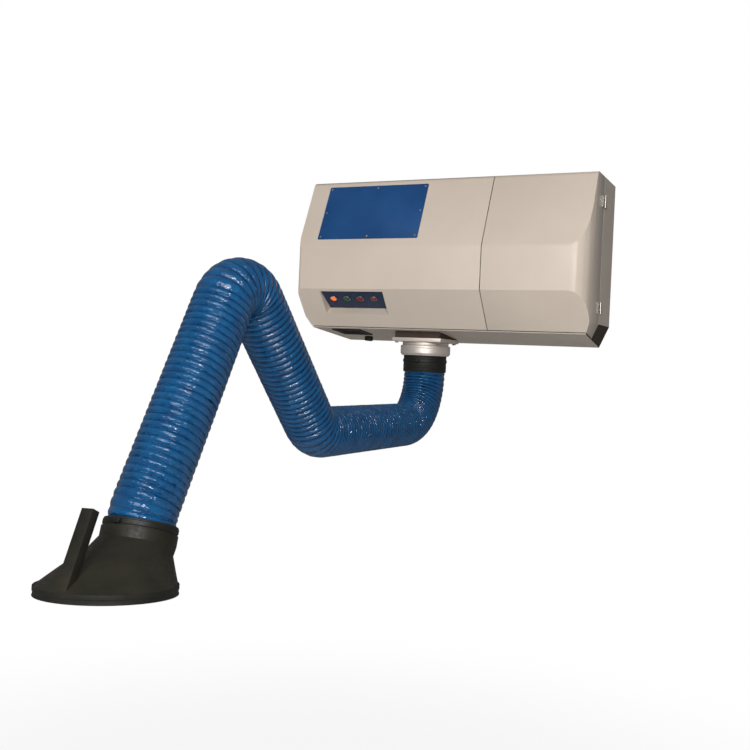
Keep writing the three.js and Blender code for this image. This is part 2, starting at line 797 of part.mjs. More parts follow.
function inletWedge() {
  const half = PLATE_HALF - WEDGE_INSET;
  const [near, far] = [SWIVEL_DEPTH - half, SWIVEL_DEPTH + half];
  const seat = PLATE_TOP + GAP;
  const wedge = prismX(
    [
      [-near, seat],
      [-near, floorLevel(near) - GAP],
      [-far, floorLevel(far) - GAP],
      [-far, seat],
    ],
    -half,
    half,
  );
  const airWay = moved(solid(barZ(RACE_RADIUS - OVERCUT, -FAR, FAR)), 0, ARM_Y, 0);
  return piece("inlet_wedge", wedge.subtract(airWay), PAINT);
}

function swivelPlate() {
  const plate = block(-PLATE_HALF, PLATE_HALF, -PLATE_HALF, PLATE_HALF, PLATE_BOTTOM, PLATE_TOP);
  const airWay = solid(barZ(RACE_RADIUS - OVERCUT, -FAR, FAR));
  return atSwivel(piece("swivel_plate", plate.subtract(airWay), ALUMINIUM));
}

function flangeNeck() {
  const top = PLATE_BOTTOM - GAP;
  const body = turned([
    [AIR_BORE, top],
    [AIR_BORE, LIP_BOTTOM],
    [LIP_RADIUS, LIP_BOTTOM],
    [LIP_RADIUS, RACE_BOTTOM],
    [RACE_RADIUS, RACE_BOTTOM],
    [RACE_RADIUS, NECK_BOTTOM],
    [NECK_RADIUS, NECK_BOTTOM],
    [NECK_RADIUS, top],
  ]);
  return atSwivel(piece("flange_neck", body, ALUMINIUM));
}

/** Bore whose flats clear a round that turns in it. */
function turningBore(radius) {
  return (radius + RUNNING_GAP) / Math.cos(Math.PI / ROUND_STEPS);
}

function swivelRing() {
  const top = NECK_BOTTOM - RUNNING_GAP;
  const shoulder = RACE_BOTTOM + GAP;
  const grooveFloor = LIP_BOTTOM - RUNNING_GAP;
  const body = turned([
    [turningBore(RACE_RADIUS), top],
    [turningBore(RACE_RADIUS), shoulder],
    [turningBore(LIP_RADIUS), shoulder],
    [turningBore(LIP_RADIUS), grooveFloor],
    [AIR_BORE, grooveFloor],
    [AIR_BORE, RING_BOTTOM - SPIGOT_LENGTH],
    [SPIGOT_RADIUS, RING_BOTTOM - SPIGOT_LENGTH],
    [SPIGOT_RADIUS, RING_BOTTOM],
    [RING_RADIUS - RING_TAPER, RING_BOTTOM],
    [RING_RADIUS, RING_BOTTOM + RING_TAPER],
    [RING_RADIUS, top],
  ]);
  return atSwivel(piece("swivel_ring", body, ALUMINIUM));
}

function rubberSleeve() {
  const body = tube(OVER_HOSE + SLEEVE_WALL, OVER_HOSE, HOSE_TOP - SLEEVE_HEIGHT, HOSE_TOP);
  return atSwivel(piece("rubber_sleeve", body, RUBBER));
}

/** Clamp band with its screw block, the block on the room side. */
function clampBand(inner, top) {
  const outer = inner + BAND_THICKNESS;
  const band = tube(outer, inner, top - BAND_HEIGHT, top);
  const lug = block(
    -LUG_SIZE,
    LUG_SIZE,
    -outer - LUG_SIZE,
    -(inner + BAND_THICKNESS / 2),
    top - BAND_HEIGHT,
    top,
  );
  return band.add(lug);
}

function sleeveClamp() {
  const inner = OVER_HOSE + SLEEVE_WALL + GAP;
  return atSwivel(piece("sleeve_clamp", clampBand(inner, HOSE_TOP - BAND_DROP), ZINC));
}

// Arm route: straight runs joined by round bends

/** Point of the arm's plane from its reach and level. */
function armPoint(reach, level) {
  return new THREE.Vector3(0, ARM_Y - reach, level);
}

const hoodJoint = armPoint(HOOD_REACH, HOOD_LEVEL);
const hoodFrame = new THREE.Group();
hoodFrame.position.copy(hoodJoint);
hoodFrame.rotation.set(-radians(HOOD_TILT), radians(HOOD_SIDE_TILT), 0);
hoodFrame.updateMatrixWorld(true);

const NECK_RING_BOTTOM = NECK_RING_TOP - NECK_RING_LENGTH;
const COLLAR_FLANGE_BOTTOM = NECK_RING_BOTTOM + GAP;
const HOSE_END = COLLAR_FLANGE_BOTTOM + COLLAR_FLANGE_HEIGHT + GAP;
const hoseEnd = new THREE.Vector3(0, 0, HOSE_END).applyMatrix4(hoodFrame.matrixWorld);

/** Route as straight and round stretches, each with its length and a point at a distance along it. */
function route(corners, bends) {
  const stretches = [];
  let start = corners[0];
  for (let i = 1; i < corners.length - 1; i++) {
    const corner = corners[i];
    const back = corners[i - 1].clone().sub(corner).normalize();
    const on = corners[i + 1].clone().sub(corner).normalize();
    const half = back.angleTo(on) / 2;
    const run = bends[i - 1] / Math.tan(half);
    const from = back.clone().multiplyScalar(run).add(corner);
    const to = on.clone().multiplyScalar(run).add(corner);
    const middle = back.clone().add(on).normalize();
    const centre = middle.multiplyScalar(bends[i - 1] / Math.sin(half)).add(corner);
    stretches.push(straight(start, from), bend(centre, from, to, Math.PI - 2 * half));
    start = to;
  }
  stretches.push(straight(start, corners[corners.length - 1]));
  return stretches;
}

function straight(from, to) {
  const length = from.distanceTo(to);
  const tangent = to.clone().sub(from).normalize();
  const at = (distance) => ({ point: tangent.clone().multiplyScalar(distance).add(from), tangent });
  return { length, at };
}

function bend(centre, from, to, sweep) {
  const radius = from.distanceTo(centre);
  const out = from.clone().sub(centre);
  const axis = out.clone().cross(to.clone().sub(centre)).normalize();
  const at = (distance) => {
    const spoke = out.clone().applyAxisAngle(axis, distance / radius);
    const tangent = axis.clone().cross(spoke).normalize();
    return { point: spoke.add(centre), tangent };
  };
  return { length: radius * sweep, at };
}

const shoulderCorner = armPoint(0, SHOULDER_LEVEL);
const kneeCorner = armPoint(KNEE_REACH, KNEE_LEVEL);
const elbowCorner = armPoint(ELBOW_REACH, ELBOW_LEVEL);
const hoseRoute = route(
  [armPoint(0, HOSE_TOP), shoulderCorner, kneeCorner, elbowCorner, hoodJoint, hoseEnd],
  [SHOULDER_BEND, KNEE_BEND, ELBOW_BEND, NECK_BEND],
);
const routeStarts = hoseRoute.map((_, i) =>
  hoseRoute.slice(0, i).reduce((sum, stretch) => sum + stretch.length, 0),
);
const HOSE_LENGTH = routeStarts.at(-1) + hoseRoute.at(-1).length;

/** Point and direction of the hose at a distance from its upper end. */
function alongHose(distance) {
  let i = hoseRoute.length - 1;
  while (i > 0 && routeStarts[i] > distance) {
    i--;
  }
  return hoseRoute[i].at(distance - routeStarts[i]);
}

/** Ring of points square to the hose. */
function hoseRing(distance, radius) {
  const { point, tangent } = alongHose(distance);
  const side = new THREE.Vector3(1, 0, 0).addScaledVector(tangent, -tangent.x).normalize();
  const rise = tangent.clone().cross(side);
  const ring = [];
  for (let k = 0; k < RIB_POINTS; k++) {
    const angle = (2 * Math.PI * k) / RIB_POINTS;
    ring.push(
      side.clone().multiplyScalar(radius * Math.cos(angle))
        .addScaledVector(rise, radius * Math.sin(angle))
        .add(point),
    );
  }
  return ring;
}

/** Length of ribbed hose with its bore: a valley and a crest for each rib. */
function hoseLength(name, from, to) {
  const ribs = Math.max(1, Math.round((to - from) / RIB_PITCH));
  const pitch = (to - from) / ribs;
  const rings = [];
  for (let rib = 0; rib < ribs; rib++) {
    rings.push(hoseRing(from + rib * pitch, VALLEY_RADIUS));
    rings.push(hoseRing(from + rib * pitch + pitch / 2, HOSE_RADIUS));
  }
  rings.push(hoseRing(to, VALLEY_RADIUS));
  for (let rib = ribs; rib > 0; rib -= BORE_RIBS) {
    rings.push(hoseRing(from + rib * pitch, HOSE_BORE));
  }
  rings.push(hoseRing(from, HOSE_BORE));
  return piece(name, ringSolid(rings), HOSE_BLUE);
}

const bendSpans = [1, 3, 5, 7].map((i) => ({
  start: routeStarts[i] - BEND_TAIL,
  end: routeStarts[i] + hoseRoute[i].length + BEND_TAIL,
}));
const [shoulderSpan, kneeSpan, elbowSpan, neckSpan] = bendSpans;

// Links inside the hose, drawn along +Y from their near pivot, then turned into the arm's plane

/** Outline of a bar with round ends in (y, z). */
function roundBar(from, to, half) {
  const points = [];
  const steps = SMALL_STEPS / 2;
  const halfRound = (middle, first) => {
    for (let k = 0; k <= steps; k++) {
      const angle = first + (Math.PI * k) / steps;
      points.push([middle + half * Math.cos(angle), half * Math.sin(angle)]);
    }
  };
  halfRound(from, Math.PI / 2);
  halfRound(to, -Math.PI / 2);
  return points;
}

function pivotHole(at) {
  return barX(BOLT_RADIUS + GAP, -FAR, FAR, at, 0);
}

/** Fork whose pivot is at a distance along the link: two cheeks and the web that joins them. */
function fork(pivot) {
  const webEnd = pivot - FORK_LENGTH;
  const web = block(
    -CHEEK_OUTER,
    CHEEK_OUTER,
    webEnd - WEB_LENGTH,
    webEnd,
    -BAR_HEIGHT / 2,
    BAR_HEIGHT / 2,
  );
  const outline = roundBar(webEnd - WEB_LENGTH / 2, pivot, BAR_HEIGHT / 2);
  const cheek = prismX(outline, CHEEK_INNER, CHEEK_OUTER);
  const otherCheek = prismX(outline, -CHEEK_OUTER, -CHEEK_INNER);
  return joined(web, cheek, otherCheek).subtract(pivotHole(pivot));
}

function flatBar(from, to) {
  return block(-HALF_BAR, HALF_BAR, from, to, -BAR_HEIGHT / 2, BAR_HEIGHT / 2);
}

/** Mesh drawn along +Y, laid in the arm's plane from one point towards another. */
function layAlong(mesh, from, to) {
  const direction = to.clone().sub(from);
  mesh.position.copy(from);
  mesh.rotation.x = Math.atan2(direction.z, direction.y);
  return mesh;
}

function link(name, from, to) {
  const length = from.distanceTo(to);
  const eye = prismX(roundBar(0, 2 * EYE_RADIUS, EYE_RADIUS), -HALF_BAR, HALF_BAR);
  const bar = flatBar(2 * EYE_RADIUS, length - FORK_LENGTH - WEB_LENGTH / 2);
  const body = joined(eye, bar).subtract(pivotHole(0)).add(fork(length));
  return layAlong(piece(name, body, STEEL), from, to);
}

/** Hexagon-headed bolt with its nut, across a fork. */
function pivotBolt(name, at) {
  const seat = CHEEK_OUTER + GAP;
  const end = seat + BOLT_HEAD_HEIGHT;
  const shank = barX(BOLT_RADIUS, -end, end, 0, 0);
  const hexagon = (x0) => barX(BOLT_HEAD_RADIUS, x0, x0 + BOLT_HEAD_HEIGHT, 0, 0, HEXAGON);
  const body = joined(shank, hexagon(seat), hexagon(-end));
  const mesh = piece(name, body, ZINC);
  mesh.position.copy(at);
  return mesh;
}

const shoulderTurn = radians(SHOULDER_PIVOT_ANGLE);
const shoulderPivot = hoseRoute[1].at(SHOULDER_BEND * shoulderTurn).point;
const kneePivot = hoseRoute[3].at(hoseRoute[3].length / 2).point;
const elbowPivot = hoseRoute[5].at(hoseRoute[5].length / 2).point;

/** Strap from a bridge across the air way down to the shoulder fork. */
function baseStrap() {
  const bridgeMiddle = RING_BOTTOM - STRAP_BRIDGE_DROP - STRAP_BRIDGE_HEIGHT / 2;
  const top = armPoint(0, bridgeMiddle);
  const length = top.distanceTo(shoulderPivot);
  const strap = flatBar(0, length - FORK_LENGTH - WEB_LENGTH / 2).add(fork(length));
  const laid = layAlong(new THREE.Mesh(geometryOf(strap)), top, shoulderPivot);
  laid.updateMatrixWorld(true);
  const placed = solid(laid.geometry.clone().applyMatrix4(laid.matrixWorld));
  const bridge = block(
    -AIR_BORE,
    AIR_BORE,
    ARM_Y - STRAP_BRIDGE_WIDTH / 2,
    ARM_Y + STRAP_BRIDGE_WIDTH / 2,
    bridgeMiddle - STRAP_BRIDGE_HEIGHT / 2,
    bridgeMiddle + STRAP_BRIDGE_HEIGHT / 2,
  );
  const airWay = moved(solid(barZ(AIR_BORE - GAP, -FAR, FAR)), 0, ARM_Y, 0);
  const above = block(-FAR, FAR, -FAR, FAR, bridgeMiddle + STRAP_BRIDGE_HEIGHT / 2, FAR);
  const body = bridge.intersect(airWay).add(placed.subtract(above));
  return piece("base_strap", body, STEEL);
}

// Hood, in the hood's own frame

const YOKE_INNER = EYE_RADIUS + YOKE_SIDE_GAP;
const YOKE_OUTER = YOKE_INNER + YOKE_ARM_THICKNESS;

/** Universal-joint block: one pin across the arm, one along it. */
function hoodCross() {
  const cube = block(-CROSS_HALF, CROSS_HALF, -CROSS_HALF, CROSS_HALF, -CROSS_HALF, CROSS_HALF);
  const across = barX(BOLT_RADIUS, -CHEEK_OUTER, CHEEK_OUTER, 0, 0);
  const along = solid(
    new THREE.CylinderGeometry(YOKE_PIN_RADIUS, YOKE_PIN_RADIUS, 2 * YOKE_OUTER, SMALL_STEPS),
  );
  return piece("hood_cross", joined(cube, across, along), ZINC);
}

/** Two upright arms on the cross and a bar across the neck. */
function hoodYoke() {
  const half = YOKE_ARM_WIDTH / 2;
  const outline = roundBar(-YOKE_DROP, 0, half).map(([along, side]) => [side, along]);
  const arm = prismY(outline, YOKE_INNER, YOKE_OUTER);
  const otherArm = prismY(outline, -YOKE_OUTER, -YOKE_INNER);
  const bar = block(
    -AIR_BORE,
    AIR_BORE,
    -YOKE_OUTER,
    YOKE_OUTER,
    -YOKE_DROP - YOKE_BAR_HEIGHT,
    -YOKE_DROP,
  );
  const bore = solid(barZ(AIR_BORE - GAP, -FAR, FAR));
  const pin = YOKE_PIN_RADIUS + GAP;
  const hole = solid(new THREE.CylinderGeometry(pin, pin, FAR, SMALL_STEPS));
  const body = joined(arm, otherArm, bar.intersect(bore)).subtract(hole);
  return piece("hood_yoke", body, STEEL);
}

function neckRing() {
  const lipBottom = NECK_RING_BOTTOM - NECK_RING_LIP_HEIGHT;
  const body = turned([
    [AIR_BORE, NECK_RING_TOP],
    [AIR_BORE, lipBottom],
    [NECK_RING_LIP_RADIUS, lipBottom],
    [NECK_RING_LIP_RADIUS, NECK_RING_BOTTOM],
    [SPIGOT_RADIUS, NECK_RING_BOTTOM],
    [SPIGOT_RADIUS, NECK_RING_TOP],
  ]);
  return piece("neck_ring", body, ALUMINIUM);
}

const COLLAR_INNER = OVER_HOSE;
const COLLAR_RADIUS = COLLAR_INNER + COLLAR_WALL;
const COLLAR_BOTTOM = COLLAR_TOP - COLLAR_LENGTH;

function hoodCollar() {
  const flangeTop = COLLAR_FLANGE_BOTTOM + COLLAR_FLANGE_HEIGHT;
  const body = turned([
    [COLLAR_INNER, COLLAR_TOP],
    [COLLAR_INNER, flangeTop],
    [turningBore(SPIGOT_RADIUS), flangeTop],
    [turningBore(SPIGOT_RADIUS), COLLAR_FLANGE_BOTTOM],
    [COLLAR_INNER, COLLAR_FLANGE_BOTTOM],
    [COLLAR_INNER, COLLAR_BOTTOM],
    [COLLAR_RADIUS, COLLAR_BOTTOM],
    [COLLAR_RADIUS, COLLAR_TOP],
  ]);
  return piece("hood_collar", body, BLACK_PLASTIC);
}

function hoodClamp() {
  return piece("hood_clamp", clampBand(COLLAR_RADIUS + GAP, COLLAR_TOP - BAND_DROP), ZINC);
}

/** Circle of the hood: middle, radius and cant about X, shifted along its own normal. */
function hoodCircle(offset, level, radius, cant, shift = 0) {
  const ring = [];
  for (let k = 0; k < ROUND_STEPS; k++) {
    const angle = (2 * Math.PI * k) / ROUND_STEPS;
    ring.push(
      new THREE.Vector3(radius * Math.cos(angle), radius * Math.sin(angle), shift)
        .applyAxisAngle(new THREE.Vector3(1, 0, 0), radians(cant))
        .add(new THREE.Vector3(0, offset, level)),
    );
  }
  return ring;
}

/** Rings of the shell from its socket to its rim, moved outwards by a wall. */
function shellRings(wall) {
  const socket = COLLAR_RADIUS + GAP + wall;
  const waist = COLLAR_BOTTOM - GAP;
  return [
    hoodCircle(0, COLLAR_BOTTOM + SHELL_LAP, socket, 0),
    hoodCircle(0, waist, socket, 0),
    hoodCircle(RIM_OFFSET / 4, (3 * waist + RIM_DROP) / 4, socket + WAIST_RADIUS_GAIN, RIM_CANT / 3),
    hoodCircle(RIM_OFFSET, RIM_DROP, RIM_RADIUS + wall, RIM_CANT),
  ];
}

function hoodShell() {
  const rings = [...shellRings(0).reverse(), ...shellRings(SHELL_WALL)];
  return piece("hood_shell", ringSolid(rings), BLACK_PLASTIC);
}

function hoodRim() {
  const inner = RIM_RADIUS;
  const outer = RIM_RADIUS + RIM_BAND_WIDTH;
  const circle = (radius, shift) => hoodCircle(RIM_OFFSET, RIM_DROP, radius, RIM_CANT, shift);
  const rings = [
    circle(inner, -GAP),
    circle(outer, -GAP),
    circle(outer, -RIM_BAND_HEIGHT),
    circle(inner, -RIM_BAND_HEIGHT),
  ];
  return piece("hood_rim", ringSolid(rings), RUBBER);
}

/** Upright grip of angle section on the room side of the hood, trimmed to the shell. */
function hoodHandle() {
  const front = (3 * ROUND_STEPS) / 4;
  const outside = shellRings(SHELL_WALL);
  const [waistFront, rimFront] = [outside[2][front], outside[3][front]];
  const slope = Math.atan2(waistFront.z - rimFront.z, waistFront.y - rimFront.y);
  const along = [Math.cos(slope), Math.sin(slope)];
  const out = [-along[1], along[0]];
  const lean = Math.PI / 2 - radians(HANDLE_LEAN);
  const up = [Math.cos(lean), Math.sin(lean)];
  const across = [up[1], -up[0]];
  const place = (a, b) => [
    rimFront.y + along[0] * a + out[0] * b,
    rimFront.z + along[1] * a + out[1] * b,
  ];
  const raise = ([y, z], height, depth) => [
    y + up[0] * height + across[0] * depth,
    z + up[1] * height + across[1] * depth,
  ];
  const back = place(HANDLE_INSET, HANDLE_CLEARANCE);
  const upright = (depth) => [
    raise(back, -HANDLE_ROOT, -HANDLE_THICKNESS),
    raise(back, -HANDLE_ROOT, depth - HANDLE_THICKNESS),
    raise(back, HANDLE_LENGTH, depth - HANDLE_THICKNESS),
    raise(back, HANDLE_LENGTH, -HANDLE_THICKNESS),
  ];
  const half = HANDLE_WIDTH / 2;
  const grip = prismX(upright(HANDLE_THICKNESS), -half, half);
  const flange = prismX(upright(HANDLE_FLANGE), half - HANDLE_THICKNESS, half);
  const space = (wall) => [
    ...shellRings(wall),
    hoodCircle(RIM_OFFSET, RIM_DROP, RIM_RADIUS + wall, RIM_CANT, -HANDLE_LENGTH),
  ];
  const shellSpace = [...space(-HOSE_RADIUS).reverse(), ...space(SHELL_WALL + HANDLE_CLEARANCE)];
  const body = grip.add(flange).subtract(solid(ringSolid(shellSpace)));
  return piece("hood_handle", body, BLACK_PLASTIC);
}

// Inside of the cabinet

function partition() {
  const x0 = PARTITION_X - SHEET;
  const inside = cabinetSolid(SHEET + PARTITION_CLEARANCE);
  const floorSpace = prismX(
    [
      [0, floorTop(0) + GAP],
      [0, FAR],
      [-FAR, FAR],
      [-FAR, floorTop(FAR) + GAP],
    ],
    -FAR,
    FAR,
  );
  const back = block(-FAR, FAR, -CABINET_DEPTH, -BACK_DEPTH - SHEET - GAP, -FAR, FAR);
  const plate = block(x0, PARTITION_X, -FAR, FAR, -FAR, FAR);
  const slab = cabinetSolid(SHEET + GAP)
    .intersect(block(-FAR, FAR, -BOX_DEPTH, 0, -FAR, FAR))
    .add(inside)
    .intersect(plate)
    .intersect(floorSpace)
    .intersect(back);
  const [from, to] = [x0 - OVERCUT, PARTITION_X + OVERCUT];
  const cleanHole = barX(FILTER_BORE, from, to, -FILTER_DEPTH, FILTER_LEVEL, ROUND_STEPS);
  const dirtyHole = barX(ELBOW_PIPE_RADIUS + GAP, from, to, ARM_Y, ELBOW_PIPE_LEVEL, SMALL_STEPS);
  const rod = block(
    x0,
    PARTITION_X,
    -FILTER_DEPTH - TIE_KNOB_RADIUS,
    -FILTER_DEPTH + TIE_KNOB_RADIUS,
    FILTER_LEVEL - FILTER_BORE - OVERCUT,
    FILTER_LEVEL + FILTER_BORE + OVERCUT,
  );
  return piece("partition", cut(slab, cleanHole, dirtyHole).add(rod), PAINT);
}

function alongFilter(mesh) {
  mesh.rotation.y = Math.PI / 2;
  mesh.position.set(PARTITION_X + GAP, -FILTER_DEPTH, FILTER_LEVEL);
  return mesh;
}

function filterCartridge() {
  const body = tube(FILTER_RADIUS, FILTER_BORE, 0, FILTER_LENGTH);
  return alongFilter(piece("filter_cartridge", body, FILTER_PAPER));
}

function filterEndPlate() {
  const z0 = FILTER_LENGTH + GAP;
  const plate = tube(FILTER_RADIUS, TIE_ROD_RADIUS + GAP, z0, z0 + FILTER_CAP);
  return alongFilter(piece("filter_end_plate", plate, ZINC));
}

function filterTieRod() {
  const knobFoot = FILTER_LENGTH + GAP + FILTER_CAP + GAP;
  const body = turned(
    [
      [0, 0],
      [TIE_ROD_RADIUS, 0],
      [TIE_ROD_RADIUS, knobFoot],
      [TIE_KNOB_RADIUS, knobFoot],
      [TIE_KNOB_RADIUS, knobFoot + TIE_KNOB_HEIGHT],
      [0, knobFoot + TIE_KNOB_HEIGHT],
    ],
    SMALL_STEPS,
  );
  return alongFilter(piece("filter_tie_rod", body, ZINC));
}

/** Air pipe from the swivel flange up and through the partition. */
function inletElbow() {
  const top = new THREE.Vector3(0, ARM_Y, ELBOW_PIPE_LEVEL);
  const foot = new THREE.Vector3(0, ARM_Y, PLATE_TOP + GAP);
  const end = new THREE.Vector3(PARTITION_X, ARM_Y, ELBOW_PIPE_LEVEL);
  const stretches = route([foot, top, end], [ELBOW_PIPE_BEND]);
  const ring = ({ point, tangent }, radius) => {
    const side = new THREE.Vector3(0, 1, 0);
    const rise = tangent.clone().cross(side);
    const points = [];
    for (let k = 0; k < SMALL_STEPS; k++) {
      const angle = (2 * Math.PI * k) / SMALL_STEPS;
      points.push(
        side.clone().multiplyScalar(radius * Math.cos(angle))
          .addScaledVector(rise, radius * Math.sin(angle))
          .add(point),
      );
    }
    return points;
  };
  const stations = [stretches[0].at(0)];
  for (let i = 0; i <= FILLET_STEPS; i++) {
    stations.push(stretches[1].at((stretches[1].length * i) / FILLET_STEPS));
  }
  stations.push(stretches[2].at(stretches[2].length));
  const rings = [
    ...stations.map((station) => ring(station, ELBOW_PIPE_RADIUS)),
    ...stations.reverse().map((station) => ring(station, ELBOW_PIPE_RADIUS - ELBOW_PIPE_WALL)),
  ];
  return piece("inlet_elbow", ringSolid(rings), ZINC);
}

function fanScroll() {
  const [x0, x1] = [FAN_X - FAN_WIDTH / 2, FAN_X + FAN_WIDTH / 2];
  const outerRadius = FAN_RADIUS + FAN_CLEARANCE + FAN_GROWTH / 2 + SHEET;
  const spiral = (radius, from, to) =>
    barX(radius, from, to, -FAN_DEPTH, FAN_LEVEL, ROUND_STEPS);
  const drop = (wall, from, to, lift) => {
    const [near, far] = [outlet.near - wall, outlet.far + wall];
    return prismX(
      [
        [-near, floorTop(near) + lift],
        [-near, FAN_LEVEL],
        [-far, FAN_LEVEL],
        [-far, floorTop(far) + lift],
      ],
      from,
      to,
    );
  };
  const outer = spiral(outerRadius, x0, x1).add(drop(SHEET, x0, x1, GAP));
  const inner = spiral(outerRadius - SHEET, x0 + SHEET, x1 - SHEET)
    .add(drop(0, x0 + SHEET, x1 - SHEET, -OVERCUT));
  const inletHole = barX(FAN_INLET_RADIUS, FAN_X, x1 + OVERCUT, -FAN_DEPTH, FAN_LEVEL, ROUND_STEPS);
  const shaftHole = barX(HUB_RADIUS, x0 - OVERCUT, FAN_X, -FAN_DEPTH, FAN_LEVEL);
  return piece("fan_scroll", cut(outer, inner, inletHole, shaftHole), ZINC);
}

/** Wheel turned about Z: back disc, hub and swept blades under a front ring. */
function impeller() {
  const width = FAN_WIDTH - 2 * SHEET - 2 * FAN_END_PLAY;
  const hub = turned(
    [
      [SHAFT_RADIUS + GAP, 0],
      [FAN_RADIUS, 0],
      [FAN_RADIUS, DISC_THICKNESS],
      [HUB_RADIUS, DISC_THICKNESS],
      [HUB_RADIUS, width / 2],
      [SHAFT_RADIUS + GAP, width / 2],
    ],
  );
  const frontRing = tube(FAN_RADIUS, FAN_INLET_RADIUS, width - DISC_THICKNESS, width);
  let wheel = hub.add(frontRing);
  const bladeLength = FAN_RADIUS - FAN_INLET_RADIUS;
  for (let k = 0; k < FAN_BLADES; k++) {
    const geometry = new THREE.BoxGeometry(bladeLength, BLADE_THICKNESS, width - DISC_THICKNESS);
    geometry.rotateZ(radians(BLADE_SWEEP));
    geometry.translate((FAN_RADIUS + FAN_INLET_RADIUS) / 2, 0, width / 2);
    geometry.rotateZ((2 * Math.PI * k) / FAN_BLADES);
    wheel = wheel.add(solid(geometry));
  }
  const mesh = piece("impeller", wheel, ZINC);
  mesh.rotation.y = Math.PI / 2;
  mesh.position.set(FAN_X - FAN_WIDTH / 2 + SHEET + FAN_END_PLAY, -FAN_DEPTH, FAN_LEVEL);
  return mesh;
}

function fanMotor() {
  const shaftEnd = SHEET + FAN_END_PLAY + (FAN_WIDTH - 2 * SHEET - 2 * FAN_END_PLAY) / 2;
  const body = turned([
    [0, -MOTOR_LENGTH],
    [MOTOR_RADIUS, -MOTOR_LENGTH],
    [MOTOR_RADIUS, 0],
    [SHAFT_RADIUS, 0],
    [SHAFT_RADIUS, shaftEnd],
    [0, shaftEnd],
  ]);
  const mesh = piece("fan_motor", body, STEEL);
  mesh.rotation.y = Math.PI / 2;
  mesh.position.set(FAN_X - FAN_WIDTH / 2 - GAP, -FAN_DEPTH, FAN_LEVEL);
  return mesh;
}

/** Switch box, open against the back of the cabinet. */
function controlBox() {
  const back = -BACK_DEPTH - SHEET - GAP;
  const box = (wall, y1) =>
    block(
      CONTROL_BOX.left + wall,
      CONTROL_BOX.left + CONTROL_BOX.width - wall,
      back - CONTROL_BOX.depth + wall,
      y1,
      CONTROL_BOX.low + wall,
      CONTROL_BOX.low + CONTROL_BOX.height - wall,
    );
  const body = box(0, back).subtract(box(CONTROL_BOX.wall, back + OVERCUT));
  return piece("control_box", body, PAINT);
}

/** Slotted plate against the underside of the sloping floor. */
function outletGrille() {
  const span = (outlet.far - outlet.near) / Math.cos(FLOOR_SLANT);
  const width = outlet.right - outlet.left;
  const frame = block(
    -width / 2 - GRILLE_LAP,
    width / 2 + GRILLE_LAP,
    -span / 2 - GRILLE_LAP,
    span / 2 + GRILLE_LAP,
    -GRILLE_THICKNESS,
    -GAP,
  );
  let grille = frame;
  const pitch = span / GRILLE_SLOTS;
  for (let k = 0; k < GRILLE_SLOTS; k++) {
    const y0 = -span / 2 + k * pitch + GRILLE_RIB / 2;
    grille = grille.subtract(
      block(-width / 2, width / 2, y0, y0 + pitch - GRILLE_RIB, -GRILLE_THICKNESS - OVERCUT, OVERCUT),
    );
  }
  const mesh = piece("outlet_grille", grille, BLACK_PLASTIC);
  const middle = (outlet.near + outlet.far) / 2;
  mesh.position.set((outlet.left + outlet.right) / 2, -middle, floorLevel(middle));
  mesh.rotation.x = -FLOOR_SLANT;
  return mesh;
}

/** Empty cable inlet: a stub through the floor with a nut under it. */
function cableGland() {
  const stub = GLAND_RADIUS - OVERCUT;
  const body = turned(
    [
      [GLAND_BORE, -GAP - GLAND_NUT_HEIGHT],
      [GLAND_RADIUS, -GAP - GLAND_NUT_HEIGHT],
      [GLAND_RADIUS, -GAP],
      [stub - GAP, -GAP],
      [stub - GAP, SHEET + OVERCUT],
      [GLAND_BORE, SHEET + OVERCUT],
    ],
    SMALL_STEPS,
  );
  const mesh = piece("cable_gland", body, BLACK_PLASTIC);
  mesh.position.set(GLAND_X, -GLAND_DEPTH, floorLevel(GLAND_DEPTH));
  mesh.rotation.x = -FLOOR_SLANT;
  return mesh;
}

// Assembly

function cabinetGroup() {
  const group = new THREE.Group();
  group.add(
    wallBar("wall_rail", RAIL_LEVEL),
    wallBar("wall_spacer", SPACER_LEVEL),
    backBox(),
    frontCover(),
    filterDoor(),
    hingeLeaf("hinge_leaf_upper", HINGE_HIGH, 1),
    hingeLeaf("hinge_leaf_lower", HINGE_LOW, 1),
    hingeLeaf("door_leaf_upper", HINGE_HIGH, -1),
    hingeLeaf("door_leaf_lower", HINGE_LOW, -1),
    partition(),
    filterCartridge(),
    filterEndPlate(),
    filterTieRod(),
    inletElbow(),
    fanScroll(),
    impeller(),
    fanMotor(),
    controlBox(),
    outletGrille(),
    cableGland(),
    inletWedge(),
    swivelPlate(),
    flangeNeck(),
  );
  return group;
}

function controlsOnFaces() {
  slopeFace.add(accessPanel());
  chamferFace.add(controlTray());
  trayFloor.add(
    controlPlate(),
    lamp("run_lamp", 0, RED_LENS),
    buttonHousing("start_button_housing", 1),
    button("start_button", 1, GREEN_PLASTIC),
    buttonHousing("stop_button_housing", 2),
    button("stop_button", 2, RED_PLASTIC),
    lamp("fault_lamp", 3, DARK_RED_LENS),
  );
  return [slopeFace, chamferFace];
}

function armGroup() {
  const group = new THREE.Group();
  group.add(
    swivelRing(),
    rubberSleeve(),
    sleeveClamp(),
    baseStrap(),
    pivotBolt("shoulder_bolt", shoulderPivot),
    link("link_1", shoulderPivot, kneePivot),
    pivotBolt("knee_bolt", kneePivot),
    link("link_2", kneePivot, elbowPivot),
    pivotBolt("elbow_bolt", elbowPivot),
    link("link_3", elbowPivot, hoodJoint),
    hoseLength("hose_shoulder", 0, shoulderSpan.end),
    hoseLength("hose_link_1", shoulderSpan.end + GAP, kneeSpan.start - GAP),
    hoseLength("hose_knee", kneeSpan.start, kneeSpan.end),
    hoseLength("hose_link_2", kneeSpan.end + GAP, elbowSpan.start - GAP),
    hoseLength("hose_elbow", elbowSpan.start, elbowSpan.end),
    hoseLength("hose_link_3", elbowSpan.end + GAP, neckSpan.start - GAP),
    hoseLength("hose_neck", neckSpan.start, HOSE_LENGTH),
  );
  return group;
}

